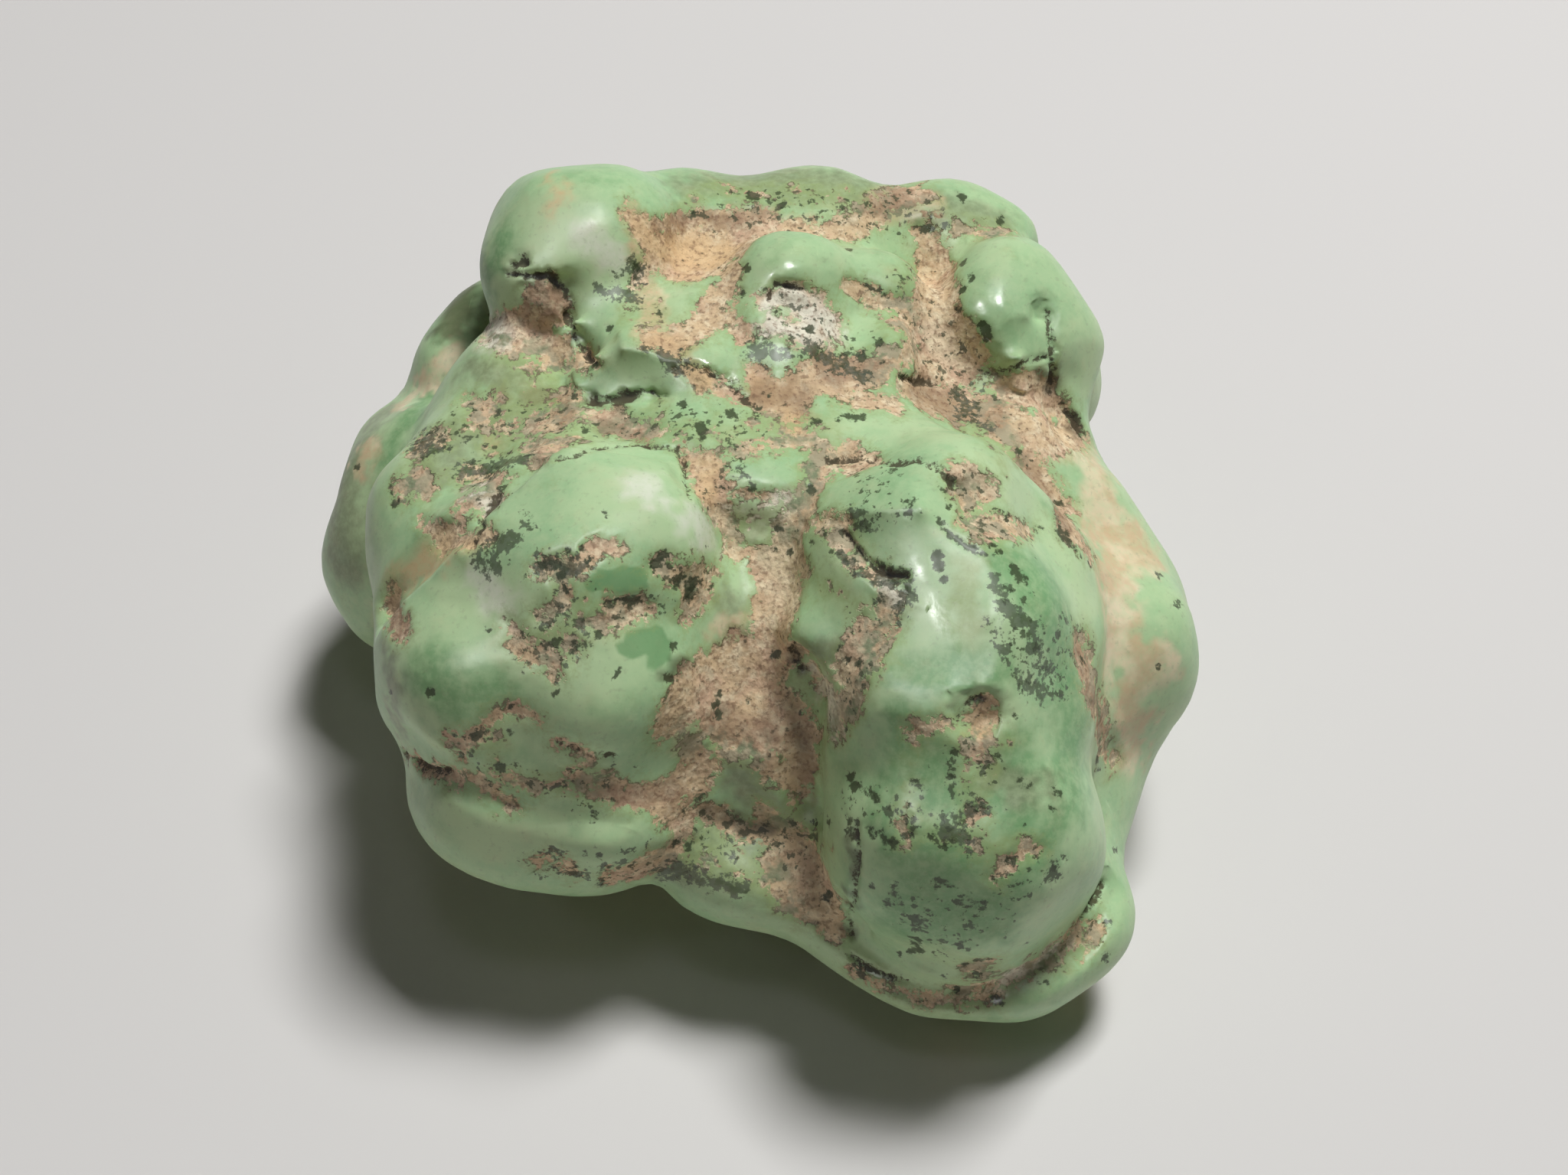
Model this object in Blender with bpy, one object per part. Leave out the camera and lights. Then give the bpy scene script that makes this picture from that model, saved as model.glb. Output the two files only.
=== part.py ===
"""Raw turquoise nugget: one solid stone of botryoidal lobes, resting on its worn underside.

Row frame: +Z up, X across the stone, Y along it, origin under the middle of its bounding box.
The lobes, ridges, hollows and creases are in millimetres, from a point on the surface the stone
rests on; the finished mesh is in metres.
"""

from math import cos, pi, sin, sqrt

import bmesh
import bpy
import numpy as np
from mathutils import Matrix, Vector

MM = 0.001

# Driving dimensions, in millimetres.
SKIN_STEP = 0.6           # spacing of the points on the skin, before it is thinned out
MASS_BLEND = 4.0          # how widely the masses run into each other
BLEND = 1.4               # how widely neighbouring lobes run into each other
CUT_BLEND = 0.6           # how widely the rim of a hollow or a crease is rounded
WAVE_LENGTH = 6.5         # long uneven waves of the worn surface
WAVE_HEIGHT = 0.28
WAVE_COUNT = 9
FLOOR_CUT = 60.0          # side of the block that planes the three resting faces

# How the skin is wrapped and settled on the stone's surface.
MOST_TRIANGLES = 9400
BALLS_PER_RUN = 5
SKIN_ROUNDS = 3
SETTLE_ROUNDS = 3
LONGEST_STEP = 0.5
PROBE = 0.05
LEAST_STEEPNESS = 0.05
PATH_STEPS = 4

STONE_GREEN = (0.30, 0.48, 0.29, 1.0)

# The stone's bulk: masses that run widely into each other. Centre, then half sizes along X, Y and Z.
MASSES = {
    "rear_block": ((-2.0, 13.5, 15.5), (15.0, 11.5, 10.6)),
    "valley_floor": ((-0.5, -4.0, 10.0), (7.5, 7.2, 8.0)),
    "near_left_block": ((-11.5, -1.5, 13.6), (9.6, 10.6, 11.6)),
    "near_right_block": ((8.2, -3.4, 13.4), (8.4, 12.4, 12.4)),
    "saddle": ((-1.5, 4.0, 13.0), (14.0, 9.0, 11.8)),
    "left_flank": ((-19.4, 10.4, 10.6), (6.4, 8.0, 8.0)),
    "right_flank": ((14.6, 2.6, 10.4), (6.6, 9.0, 8.2)),
    "right_rear_slope": ((12.6, 9.5, 13.6), (5.4, 6.0, 7.0)),
    "front_foot": ((9.8, -9.6, 5.4), (7.6, 7.4, 5.7)),
}

# Rounded lobes on that bulk, given like the masses.
LOBES = {
    "far_left_dome": ((-11.2, 18.2, 24.0), (5.9, 5.6, 5.5)),
    "far_ridge_left": ((-5.4, 21.2, 21.4), (5.6, 5.0, 5.2)),
    "far_ridge_middle": ((1.2, 21.4, 20.9), (6.6, 5.4, 5.6)),
    "far_ridge_right": ((8.5, 22.2, 20.1), (6.5, 4.8, 5.0)),
    "far_left_neck": ((-14.6, 11.8, 20.2), (3.6, 3.6, 3.6)),
    "far_left_foot": ((-9.4, 13.4, 22.6), (3.2, 3.6, 3.4)),
    "middle_bump": ((0.4, 14.6, 24.6), (3.7, 3.4, 3.7)),
    "middle_bump_foot": ((0.2, 11.4, 23.6), (3.2, 3.0, 3.2)),
    "middle_bump_knob": ((5.4, 15.6, 23.2), (2.8, 2.6, 2.8)),
    "far_right_dome": ((12.4, 15.6, 21.4), (4.4, 4.8, 4.6)),
    "behind_right_bump": ((14.6, 18.2, 14.4), (4.2, 4.2, 4.8)),
    "saddle_blob_left": ((-8.2, 9.4, 24.0), (2.6, 1.8, 1.8)),
    "saddle_blob_middle": ((-4.0, 8.8, 24.6), (1.8, 1.6, 1.4)),
    "saddle_blob_right": ((5.6, 10.8, 23.4), (1.6, 2.2, 2.0)),
    "saddle_island": ((-1.4, 1.4, 23.4), (2.2, 1.8, 1.4)),
    "valley_nodule": ((1.9, -6.2, 20.4), (1.8, 1.8, 1.9)),
    "rear_left_lobe": ((-11.0, 20.4, 11.6), (6.2, 5.2, 6.6)),
    "rear_right_lobe": ((6.4, 21.0, 12.0), (6.6, 5.0, 6.2)),
    "rear_low_lobe": ((-2.6, 20.0, 7.4), (5.8, 5.0, 5.0)),
    "left_underside": ((-9.5, 0.0, 6.4), (6.5, 7.0, 6.8)),
    "left_rear_low": ((-21.8, 8.6, 9.4), (4.8, 5.4, 5.8)),
    "left_rear_top": ((-21.0, 11.6, 13.0), (4.0, 4.4, 4.2)),
    "left_rear_slope": ((-17.4, 16.4, 15.0), (4.4, 4.4, 5.0)),
    "left_rear_notch_bump": ((-17.0, 20.4, 15.4), (3.8, 3.8, 4.4)),
    "near_left_dome": ((-9.4, -1.8, 21.4), (6.4, 5.8, 5.8)),
    "near_left_side": ((-15.2, -5.2, 15.6), (5.8, 5.8, 6.6)),
    "near_left_front": ((-11.4, -9.0, 11.0), (8.6, 5.2, 6.0)),
    "near_left_inner": ((-9.4, -6.6, 17.6), (5.0, 5.0, 5.6)),
    "near_right_back": ((6.8, -2.2, 21.2), (6.0, 6.0, 6.2)),
    "nose": ((9.2, -13.2, 12.6), (7.3, 5.7, 7.8)),
    "nose_top": ((9.2, -8.6, 18.6), (6.0, 5.4, 5.6)),
    "front_ledge": ((10.4, -13.0, 5.8), (7.8, 6.4, 4.4)),
    "right_side": ((17.8, 0.8, 11.4), (5.0, 6.6, 6.4)),
}

# A ridge runs through stations of x, y, z and radius.
RIDGES = {
    "far_right_finger": (
        (12.4, 17.8, 21.6, 3.0),
        (14.9, 15.0, 19.8, 2.8),
        (15.4, 11.2, 17.6, 2.2),
    ),
    "left_shoulder": (
        (-15.0, 9.6, 18.6, 4.4),
        (-17.2, 4.4, 17.4, 5.2),
        (-17.4, -0.5, 16.2, 4.8),
    ),
    "near_right_rim": (
        (3.0, 3.6, 22.8, 2.2),
        (7.0, 3.0, 22.6, 2.6),
        (11.0, 0.4, 21.2, 3.0),
        (13.6, -4.0, 18.2, 3.2),
    ),
    "near_right_spine": ((7.6, -1.4, 22.8, 4.6), (9.2, -6.4, 21.0, 4.6)),
    "ledge_left_arm": (
        (-3.8, -10.8, 8.0, 3.2),
        (2.0, -12.8, 6.8, 3.2),
        (8.0, -14.8, 5.4, 3.8),
    ),
    "right_foot": ((16.2, -3.0, 7.6, 4.2), (14.7, -10.5, 6.2, 3.6)),
    "rear_underside": ((-10.0, 14.0, 7.0, 7.0), (8.0, 14.0, 7.0, 7.5)),
}

# Hollows are cut from the lobes and given like them.
HOLLOWS = {
    "far_left_pit": ((-12.7, 14.2, 24.7), (1.9, 2.0, 1.9)),
    "middle_bump_crater": ((0.9, 11.0, 27.7), (2.1, 1.6, 1.5)),
    "far_right_undercut": ((13.4, 11.4, 22.6), (1.6, 1.5, 1.3)),
    "finger_undercut": ((15.9, 9.8, 20.2), (1.3, 1.3, 1.2)),
    "near_right_patch": ((10.4, -2.9, 27.3), (2.4, 1.9, 1.2)),
    "nose_pit": ((9.3, -13.3, 22.7), (1.5, 1.9, 1.1)),
}

# A crease is a groove of some radius and depth, laid on the skin along stations of x, y and z.
CREASES = {
    "pit_crevice": (0.9, 0.8, ((-11.6, 13.2, 26.2), (-10.8, 11.6, 25.3), (-10.4, 10.2, 24.5))),
    "far_right_crack": (0.8, 0.8, ((14.3, 13.4, 24.6), (14.2, 12.2, 23.4), (13.6, 11.2, 22.4))),
    "saddle_slot": (0.9, 0.9, ((-10.3, 7.4, 24.8), (-8.6, 7.2, 24.9), (-6.9, 7.2, 25.1))),
    "shoulder_crease": (
        1.5,
        1.0,
        ((-20.9, -2.6, 18.4), (-18.9, -1.8, 21.2), (-16.2, -1.4, 23.9), (-13.2, 1.2, 25.4)),
    ),
    "near_left_seam": (
        1.1,
        0.4,
        ((-18.6, -9.6, 15.8), (-16.5, -11.9, 16.0), (-13.2, -13.4, 15.2), (-8.6, -13.4, 14.6)),
    ),
    "near_left_ledge": (
        1.0,
        0.4,
        ((-11.4, 2.4, 25.4), (-8.0, 2.6, 26.4), (-5.0, 2.2, 26.2), (-4.4, 0.0, 26.2)),
    ),
    "near_right_crevice": (0.9, 0.7, ((2.9, -4.1, 26.2), (4.3, -5.5, 26.1), (6.3, -6.9, 26.0))),
    "valley_crease": (1.3, 1.0, ((1.2, -7.4, 20.0), (1.0, -9.6, 17.6), (1.0, -12.0, 13.4))),
    "nose_foot": (
        1.0,
        0.6,
        ((3.0, -16.2, 11.4), (3.4, -17.4, 8.4), (6.1, -18.8, 7.2), (10.1, -19.2, 7.0),
         (15.2, -16.8, 7.8), (17.6, -13.6, 9.0)),
    ),
}


def lobe_distance(points, centre, half_sizes):
    """Distance from each point to a rounded lobe, negative inside it."""
    offset = points - np.array(centre)
    scaled = np.linalg.norm(offset / np.array(half_sizes), axis=1)
    steep = np.linalg.norm(offset / np.square(half_sizes), axis=1)
    return scaled * (scaled - 1.0) / np.maximum(steep, 1e-9)


def ridge_distance(points, stations):
    """Distance from each point to a ridge whose radius changes from station to station."""
    nearest = np.full(len(points), np.inf)
    for start, end in zip(stations, stations[1:]):
        first, run = np.array(start[:3]), np.subtract(end[:3], start[:3])
        share = np.clip((points - first) @ run / (run @ run), 0.0, 1.0)
        radius = start[3] + share * (end[3] - start[3])
        away = np.linalg.norm(points - first - share[:, None] * run, axis=1) - radius
        nearest = np.minimum(nearest, away)
    return nearest


def path_distance(points, path):
    """Distance from each point to the nearest stretch of a path."""
    nearest = np.full(len(points), np.inf)
    for start, end in zip(path, path[1:]):
        run = end - start
        share = np.clip((points - start) @ run / max(run @ run, 1e-9), 0.0, 1.0)
        nearest = np.minimum(nearest, np.linalg.norm(points - start - share[:, None] * run, axis=1))
    return nearest


def wave_height(points):
    """Uneven height of the worn surface: waves that cross in evenly spread directions."""
    height = np.zeros(len(points))
    for turn in range(WAVE_COUNT):
        rise = 1.0 - (2.0 * turn + 1.0) / WAVE_COUNT
        bearing = turn * pi * (3.0 - sqrt(5.0))
        flat = sqrt(1.0 - rise * rise)
        direction = np.array((flat * cos(bearing), flat * sin(bearing), rise))
        height += np.sin(points @ direction * 2.0 * pi / WAVE_LENGTH + bearing)
    return WAVE_HEIGHT * height / sqrt(WAVE_COUNT)


def smooth_union(first, second, blend):
    share = np.clip(0.5 + 0.5 * (second - first) / blend, 0.0, 1.0)
    return second + (first - second) * share - blend * share * (1.0 - share)


def smooth_cut(body, tool, blend):
    return -smooth_union(-body, tool, blend)


def bulk_distance(points):
    """Signed distance to the masses, lobes and ridges joined."""
    body = np.full(len(points), np.inf)
    for centre, half_sizes in MASSES.values():
        distance = lobe_distance(points, centre, half_sizes)
        body = distance if np.isinf(body[0]) else smooth_union(body, distance, MASS_BLEND)
    for centre, half_sizes in LOBES.values():
        body = smooth_union(body, lobe_distance(points, centre, half_sizes), BLEND)
    for stations in RIDGES.values():
        body = smooth_union(body, ridge_distance(points, stations), BLEND)
    return body - wave_height(points)


def slope_of(distance, points):
    """Value of a distance function at each point, and its slope along X, Y and Z."""
    here = distance(points)
    ahead = [distance(points + PROBE * axis) for axis in np.eye(3)]
    return here, (np.stack(ahead, axis=1) - here[:, None]) / PROBE


def laid_creases():
    """Each crease's groove: stations along the skin, lifted until the groove has its depth."""
    grooves = []
    for radius, depth, stations in CREASES.values():
        runs = [np.linspace(start, end, PATH_STEPS) for start, end in zip(stations, stations[1:])]
        path = np.concatenate(runs)
        for _ in range(SETTLE_ROUNDS):
            away, slope = slope_of(bulk_distance, path)
            path = path - away[:, None] * slope
        path = path + (radius - depth) * slope
        grooves.append((path, radius))
    return grooves


def stone_distance(points, grooves):
    """Signed distance to the whole stone: its bulk, less the hollows and the creases."""
    body = bulk_distance(points)
    for centre, half_sizes in HOLLOWS.values():
        body = smooth_cut(body, lobe_distance(points, centre, half_sizes), CUT_BLEND)
    for path, radius in grooves:
        body = smooth_cut(body, path_distance(points, path) - radius, CUT_BLEND)
    return body


def add_ball(bm, centre, half_sizes):
    place = Matrix.LocRotScale(Vector(centre), None, Vector(half_sizes))
    bmesh.ops.create_icosphere(bm, subdivisions=3, radius=1.0, matrix=place)


def rough_form():
    """Every mass, lobe and ridge as overlapping balls, in one mesh."""
    bm = bmesh.new()
    for centre, half_sizes in [*MASSES.values(), *LOBES.values()]:
        add_ball(bm, centre, half_sizes)
    for stations in RIDGES.values():
        for start, end in zip(stations, stations[1:]):
            for share in np.linspace(0.0, 1.0, BALLS_PER_RUN):
                *centre, radius = np.array(start) + share * np.subtract(end, start)
                add_ball(bm, centre, (radius, radius, radius))
    mesh = bpy.data.meshes.new("turquoise_nugget")
    bm.to_mesh(mesh)
    bm.free()
    return mesh


def wrapped(mesh):
    """One even skin round the mesh, from Blender's voxel remesh."""
    obj = bpy.data.objects.new("wrapping", mesh)
    bpy.context.scene.collection.objects.link(obj)
    remesh = obj.modifiers.new("skin", "REMESH")
    remesh.mode = "VOXEL"
    remesh.voxel_size = SKIN_STEP
    skin = bpy.data.meshes.new_from_object(obj.evaluated_get(bpy.context.evaluated_depsgraph_get()))
    bpy.data.objects.remove(obj)
    return skin


def settle(mesh, grooves):
    """Moves each point along the distance's slope until it lies on the stone's surface."""
    points = np.empty(len(mesh.vertices) * 3)
    mesh.vertices.foreach_get("co", points)
    points = points.reshape(-1, 3)
    for _ in range(SETTLE_ROUNDS):
        away, slope = slope_of(lambda places: stone_distance(places, grooves), points)
        steepness = np.maximum((slope**2).sum(axis=1), LEAST_STEEPNESS)
        step = np.clip(away / steepness, -LONGEST_STEP, LONGEST_STEP)
        points = points - step[:, None] * slope
    mesh.vertices.foreach_set("co", points.ravel())
    mesh.update()


def stone_material():
    material = bpy.data.materials.new("turquoise_stone")
    material.use_nodes = True
    shader = material.node_tree.nodes["Principled BSDF"]
    shader.inputs["Base Color"].default_value = STONE_GREEN
    shader.inputs["Roughness"].default_value = 0.35
    shader.inputs["Metallic"].default_value = 0.0
    return material


def floor_cutter():
    """Block under the surface the stone rests on; its top planes the resting faces."""
    bm = bmesh.new()
    bmesh.ops.create_cube(bm, size=FLOOR_CUT * MM)
    mesh = bpy.data.meshes.new("floor_cutter")
    bm.to_mesh(mesh)
    bm.free()
    cutter = bpy.data.objects.new("floor_cutter", mesh)
    cutter.location.z = -FLOOR_CUT * MM / 2
    cutter.hide_render = True
    cutter.display_type = "WIRE"
    bpy.context.scene.collection.objects.link(cutter)
    return cutter


def build_stone():
    skin = rough_form()
    grooves = laid_creases()
    for _ in range(SKIN_ROUNDS):
        skin = wrapped(skin)
        settle(skin, grooves)
    skin.name = "turquoise_nugget"
    corners = np.array([vertex.co for vertex in skin.vertices])
    middle = (corners.min(axis=0) + corners.max(axis=0)) / 2
    skin.transform(Matrix.Translation((-middle[0], -middle[1], 0.0)))
    skin.transform(Matrix.Scale(MM, 4))
    skin.materials.append(stone_material())
    skin.shade_smooth()
    stone = bpy.data.objects.new("turquoise_nugget", skin)
    bpy.context.scene.collection.objects.link(stone)
    thin = stone.modifiers.new("thin", "DECIMATE")
    thin.ratio = MOST_TRIANGLES / sum(len(face.vertices) - 2 for face in skin.polygons)
    rest = stone.modifiers.new("rest", "BOOLEAN")
    rest.operation = "DIFFERENCE"
    rest.solver = "EXACT"
    rest.object = floor_cutter()
    return stone


def main():
    for obj in list(bpy.data.objects):
        bpy.data.objects.remove(obj)
    build_stone()


main()
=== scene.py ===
"""Looks of the raw turquoise nugget: waxy green skin, rough tan matrix in its hollows, slate inclusions,
dark specks, clefts and stains, on a pale floor in soft light. Some shade, light and highlights are painted
into the colour. Lengths are millimetres until the mesh is written. Marks on the seen side are laid on the
stone through the camera, in pixels of a 2048 x 1535 view. The unseen side takes its matrix from its own
hollows, and its specks and stains from noise."""

import math

import bpy
import numpy as np
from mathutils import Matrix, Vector, noise
from mathutils.bvhtree import BVHTree


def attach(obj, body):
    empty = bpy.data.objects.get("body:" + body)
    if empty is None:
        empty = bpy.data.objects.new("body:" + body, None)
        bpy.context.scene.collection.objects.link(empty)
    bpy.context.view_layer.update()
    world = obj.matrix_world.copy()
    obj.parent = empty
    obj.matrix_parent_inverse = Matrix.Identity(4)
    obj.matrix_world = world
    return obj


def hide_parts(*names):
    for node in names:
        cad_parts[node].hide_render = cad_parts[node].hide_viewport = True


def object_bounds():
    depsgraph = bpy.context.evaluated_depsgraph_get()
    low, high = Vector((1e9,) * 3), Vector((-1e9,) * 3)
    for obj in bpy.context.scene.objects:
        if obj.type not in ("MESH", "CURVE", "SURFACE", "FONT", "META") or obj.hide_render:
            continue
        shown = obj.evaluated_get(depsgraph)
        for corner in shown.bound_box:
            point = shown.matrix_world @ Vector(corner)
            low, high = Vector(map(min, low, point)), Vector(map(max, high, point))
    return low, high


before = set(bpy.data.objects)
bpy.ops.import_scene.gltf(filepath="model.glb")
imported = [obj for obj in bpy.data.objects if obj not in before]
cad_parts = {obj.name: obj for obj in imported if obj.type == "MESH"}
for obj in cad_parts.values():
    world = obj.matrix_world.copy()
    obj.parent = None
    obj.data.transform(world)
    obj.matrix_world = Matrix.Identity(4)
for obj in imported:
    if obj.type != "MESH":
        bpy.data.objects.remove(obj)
cad_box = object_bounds()

MM = 0.001
NODE = "turquoise_nugget"

# The view, in pixels and millimetres.
IMAGE_SIZE = (2048, 1535)
LENS = 50.0
SENSOR = 36.0
NEAR_CLIP = 5.0
ELEVATION = math.radians(50)
CAMERA_DISTANCE = 116.0
CAMERA_AIM = (2.125, -3.913, 17.0)

# The fine mesh. The CAD mesh is thinned a little first, so that the split one has under 200,000 triangles.
WELD_DISTANCE = 0.001
THINNED_TO = 0.87
FINER_TIMES = 2
FAIRING_ROUNDS = 10
FAIRING_STEPS = (0.52, -0.54)
FLAT_BASE = 0.03
SOFTENING_ROUNDS = 200
SOFTENING_FADE = 0.6

# What the camera sees: how squarely a vertex has to face it, how far off the stone its sight starts, and
# how far the border between the seen and the unseen side is spread and faded.
LEAST_FACING = 0.02
SIGHT_LIFT = 0.08
SEEN_SPREAD = 12
SEEN_FADE = (0.25, 0.75)

# Strokes are laid as balls: the least gap between them in pixels, the gap as a share of their radius, how
# much a distance along the view counts, and how far beyond a stroke its depth is worked out.
BALL_GAP = 2.0
BALL_GAP_SHARE = 0.4
ALONG_VIEW = 0.45
MARGIN = 1.2

# Noises of the skin are (weight, wavelength, shift). The edges of marks wander with the first ones, and
# marks under the full radius wander less. Crisp marks store how deep a vertex lies in them, plus a gain
# that widens them. The others are stains, painted light, painted shade and gloss, from 0 to 1: they fade
# over a share of their radius and a bit more.
EDGE_WANDER = ((0.34, 1.3, 0.0), (0.30, 0.55, 7.0))
FULL_RADIUS = 0.35
WANDER_SHARE = {"dark": 0.85, "slate": 0.8, "crack": 0.9}
CRISP_GAIN = {"matrix": 0.10, "slate": 0.07, "dark": 0.07, "patch": 0.07, "crack": 0.0}
STAIN_FADE = 0.5
STAIN_FADE_MORE = 0.15
STAIN_WANDER = 2.0

# The unseen side: the matrix in its hollows, crisp marks where noises pass a bar, and stains.
HOLLOW_ROUNDS = 110
HOLLOW_WEIGHT = 1.1
HOLLOW_NOISES = ((0.8, 6.5, 3.0), (0.4, 6.5 / 2.4, 9.0), (0.25, 0.9, 5.0))
HOLLOW_BAR = 0.32
# Crisp marks: kind, noises, bar.
UNSEEN_CRISP = (
    ("slate", ((1.0, 2.2, 21.0), (0.7, 7.0, 23.0)), 0.62),
    ("dark", ((1.0, 0.9, 21.0), (0.7, 3.5, 23.0)), 0.7))
# Stains: kind, noise, and where its step begins and ends.
UNSEEN_STAINS = (
    ("mottle", (0.9, 5.0, 31.0), 0.0, 0.5), ("flecks", (0.9, 4.0, 35.0), 0.0, 0.4),
    ("deep", (0.9, 5.5, 39.0), 0.05, 0.5), ("dull", (0.8, 3.6, 43.0), 0.15, 0.6),
    ("yellow", (0.8, 2.8, 47.0), 0.15, 0.6), ("pale", (0.8, 6.0, 51.0), 0.1, 0.6),
    ("tan", (0.8, 7.0, 55.0), 0.25, 0.6), ("rust_and_painted_shade", (0.8, 3.0, 59.0), 0.1, 0.5),
    ("ochre", (0.8, 6.0, 63.0), 0.25, 0.5))

# Relief: the matrix lies lower and is grainy, the turquoise is lumpy, clefts and specks are cut in.
RECESS = 0.13
RECESS_BORDER = (-0.3, 0.3)
GRAIN_HEIGHT = 0.085
GRAIN_NOISES = ((1.0, 1.5, 2.0), (0.8, 0.75, 4.0))
LUMP_NOISES = ((0.06, 4.5, 6.0),)
CRACK_DEPTH = 0.32
CRACK_SLOPE = (-0.14, 0.2)
SPECK_DEPTH = 0.05
SPECK_SLOPE = (-0.1, 0.1)

# Colours as they look in full light, 0 to 255.
GREEN = (165, 204, 154)
GREEN_PALE = (196, 220, 172)
GREEN_DEEP = (108, 160, 106)
GREEN_YELLOW = (160, 180, 120)
GREEN_DULL = (134, 144, 112)
TAN = (218, 192, 154)
TAN_PINK = (208, 176, 148)
TAN_LIGHT = (238, 222, 188)
TAN_GREY = (176, 166, 138)
OCHRE = (220, 188, 142)
# Rust brown; laid over the rear lobe it is painted shade.
RUST_AND_SHADE = (124, 94, 72)
# Cream; laid on the domes it is a painted highlight, and in shaded places painted light.
CREAM_AND_PAINTED_LIGHT = (236, 238, 222)
SLATE = (84, 92, 78)
SPECK = (62, 72, 50)
# The clefts' dark, partly painted shade; the painted shade marks darken toward it as well.
CLEFT_DARK_AND_SHADE = (74, 66, 48)
DARK_RIM = (78, 66, 46)
FLOOR = (222, 220, 218)

# Layers of tone: wavelength, detail and roughness of a noise; low, high and top of its step; tone.
GREEN_LAYERS = (
    ((6.0, 3.0, 0.55), (0.35, 0.70, 0.8), GREEN_PALE), ((3.1, 3.0, 0.55), (0.54, 0.80, 0.5), GREEN_DEEP),
    ((1.1, 4.0, 0.65), (0.45, 0.75, 0.4), GREEN_PALE), ((1.9, 4.0, 0.70), (0.56, 0.80, 0.5), GREEN_YELLOW),
    ((0.24, 2.0, 0.5), (0.64, 0.78, 0.4), GREEN_PALE))
GREEN_GRAIN = (
    ((0.45, 3.0, 0.6), (0.35, 0.70, 0.30), GREEN_PALE), ((0.34, 3.0, 0.6), (0.55, 0.75, 0.25), GREEN_DULL))
TAN_LAYERS = (((2.2, 3.0, 0.55), (0.4, 0.6, 1.0), TAN),)
MATRIX_LAYERS = (
    ((2.6, 4.0, 0.55), (0.40, 0.65, 1.0), TAN_PINK), ((0.7, 4.0, 0.7), (0.44, 0.66, 0.85), TAN_LIGHT))
MATRIX_HOLLOWS = (((0.3, 3.0, 0.6), (0.50, 0.66, 0.6), RUST_AND_SHADE),)
MATRIX_SPECKS = (((0.6, 3.0, 0.65), (0.64, 0.72, 0.75), SPECK),)
SLATE_LAYERS = (((0.4, 3.0, 0.55), (0.42, 0.58, 1.0), SPECK),)
# The same, but only where a field says so: noise, step, field, tone.
MATRIX_MOTTLE = (
    ((1.3, 3.0, 0.6), (0.48, 0.62, 1.0), "mottle", GREEN_DULL),
    ((0.9, 3.0, 0.6), (0.48, 0.62, 1.0), "mottle", TAN_GREY))
# Stains, some of them also painted highlights, painted light and painted shade: field, top, tone.
GREEN_STAINS = (
    ("pale", 0.7, GREEN_PALE), ("deep", 0.75, GREEN_DEEP), ("yellow", 0.8, GREEN_YELLOW),
    ("dull", 0.8, GREEN_DULL), ("ochre", 0.8, OCHRE), ("cream_and_painted_light", 0.75, CREAM_AND_PAINTED_LIGHT), ("mottle", 0.45, GREEN_YELLOW))
MATRIX_STAINS = (
    ("pale", 0.6, TAN_LIGHT), ("ochre", 0.75, OCHRE), ("cream_and_painted_light", 0.7, CREAM_AND_PAINTED_LIGHT), ("rust_and_painted_shade", 0.35, RUST_AND_SHADE))
# Rust over the whole stone; over the rear lobe it is painted shade.
STONE_STAINS = (("rust_and_painted_shade", 0.3, RUST_AND_SHADE),)
# Painted shade in clefts, under brims and over the rear lobe, darkened toward the clefts' dark.
PAINTED_SHADE_TINTS = (("shade", 0.6, CLEFT_DARK_AND_SHADE),)

# Borders of the matrix and of the marks: low and high of a step, and its top where that isn't 1.
MATRIX_BORDER = (-0.10, 0.14)
MATRIX_HALO = (-0.7, 0.0, 0.5)
RIM_OUTSIDE = (-0.20, -0.02)
RIM_INSIDE = (0.02, 0.26)
PATCH_BORDER = (-0.10, 0.14, 0.7)
TAN_BORDER = (-0.05, 1.15, 0.9)
SLATE_BORDER = (-0.10, 0.16, 0.8)
SPECK_BORDER = (-0.05, 0.07, 0.88)
CRACK_BORDER = (-0.08, 0.08, 0.9)
# The matrix's cells and the step of their tone.
CELL_SIZE = 0.3
CELL_TONE = (0.45, 0.85, 0.2)
# The dark rim along the matrix is broken up by a noise.
RIM_NOISE = (0.9, 3.0, 0.6)
RIM_GAPS = (0.50, 0.60, 0.65)
# Flecks: their noise, their step, how much the field helps them, and where the field lets them in.
FLECK_NOISE = (0.48, 3.0, 0.6)
FLECK_BORDER = (0.68, 0.74, 0.8)
FLECK_HELP = 0.12
FLECK_GATE = (0.0, 0.4)

# Crumbs roughen borders. They are noises about zero, as wavelength and height, and all of one detail and
# roughness. Those of flecked and mottled ground count by its field. Islands of matrix lie in mottled ground.
NOISE_MIDDLE = 0.5
CRUMB_NOISE = (3.0, 0.65)
MATRIX_CRUMBS = ((0.5, 1.7), (0.18, 0.8))
FLECKED_CRUMBS = (1.5, 1.2)
MOTTLED_CRUMBS = (0.9, 2.4)
ISLAND_CRUMBS = ((1.2, 3.4), (0.4, 1.0))
ISLAND_BAR = 1.15
ISLAND_WEIGHT = 1.5
TAN_WEIGHT = 1.1
TAN_CRUMBS = (1.6, 1.2)
SLATE_CRUMBS = (0.6, 1.9)
SMALL_CRUMBS = (0.3, 0.9)
SPECK_CRUMBS = (0.3, 0.7)

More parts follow.
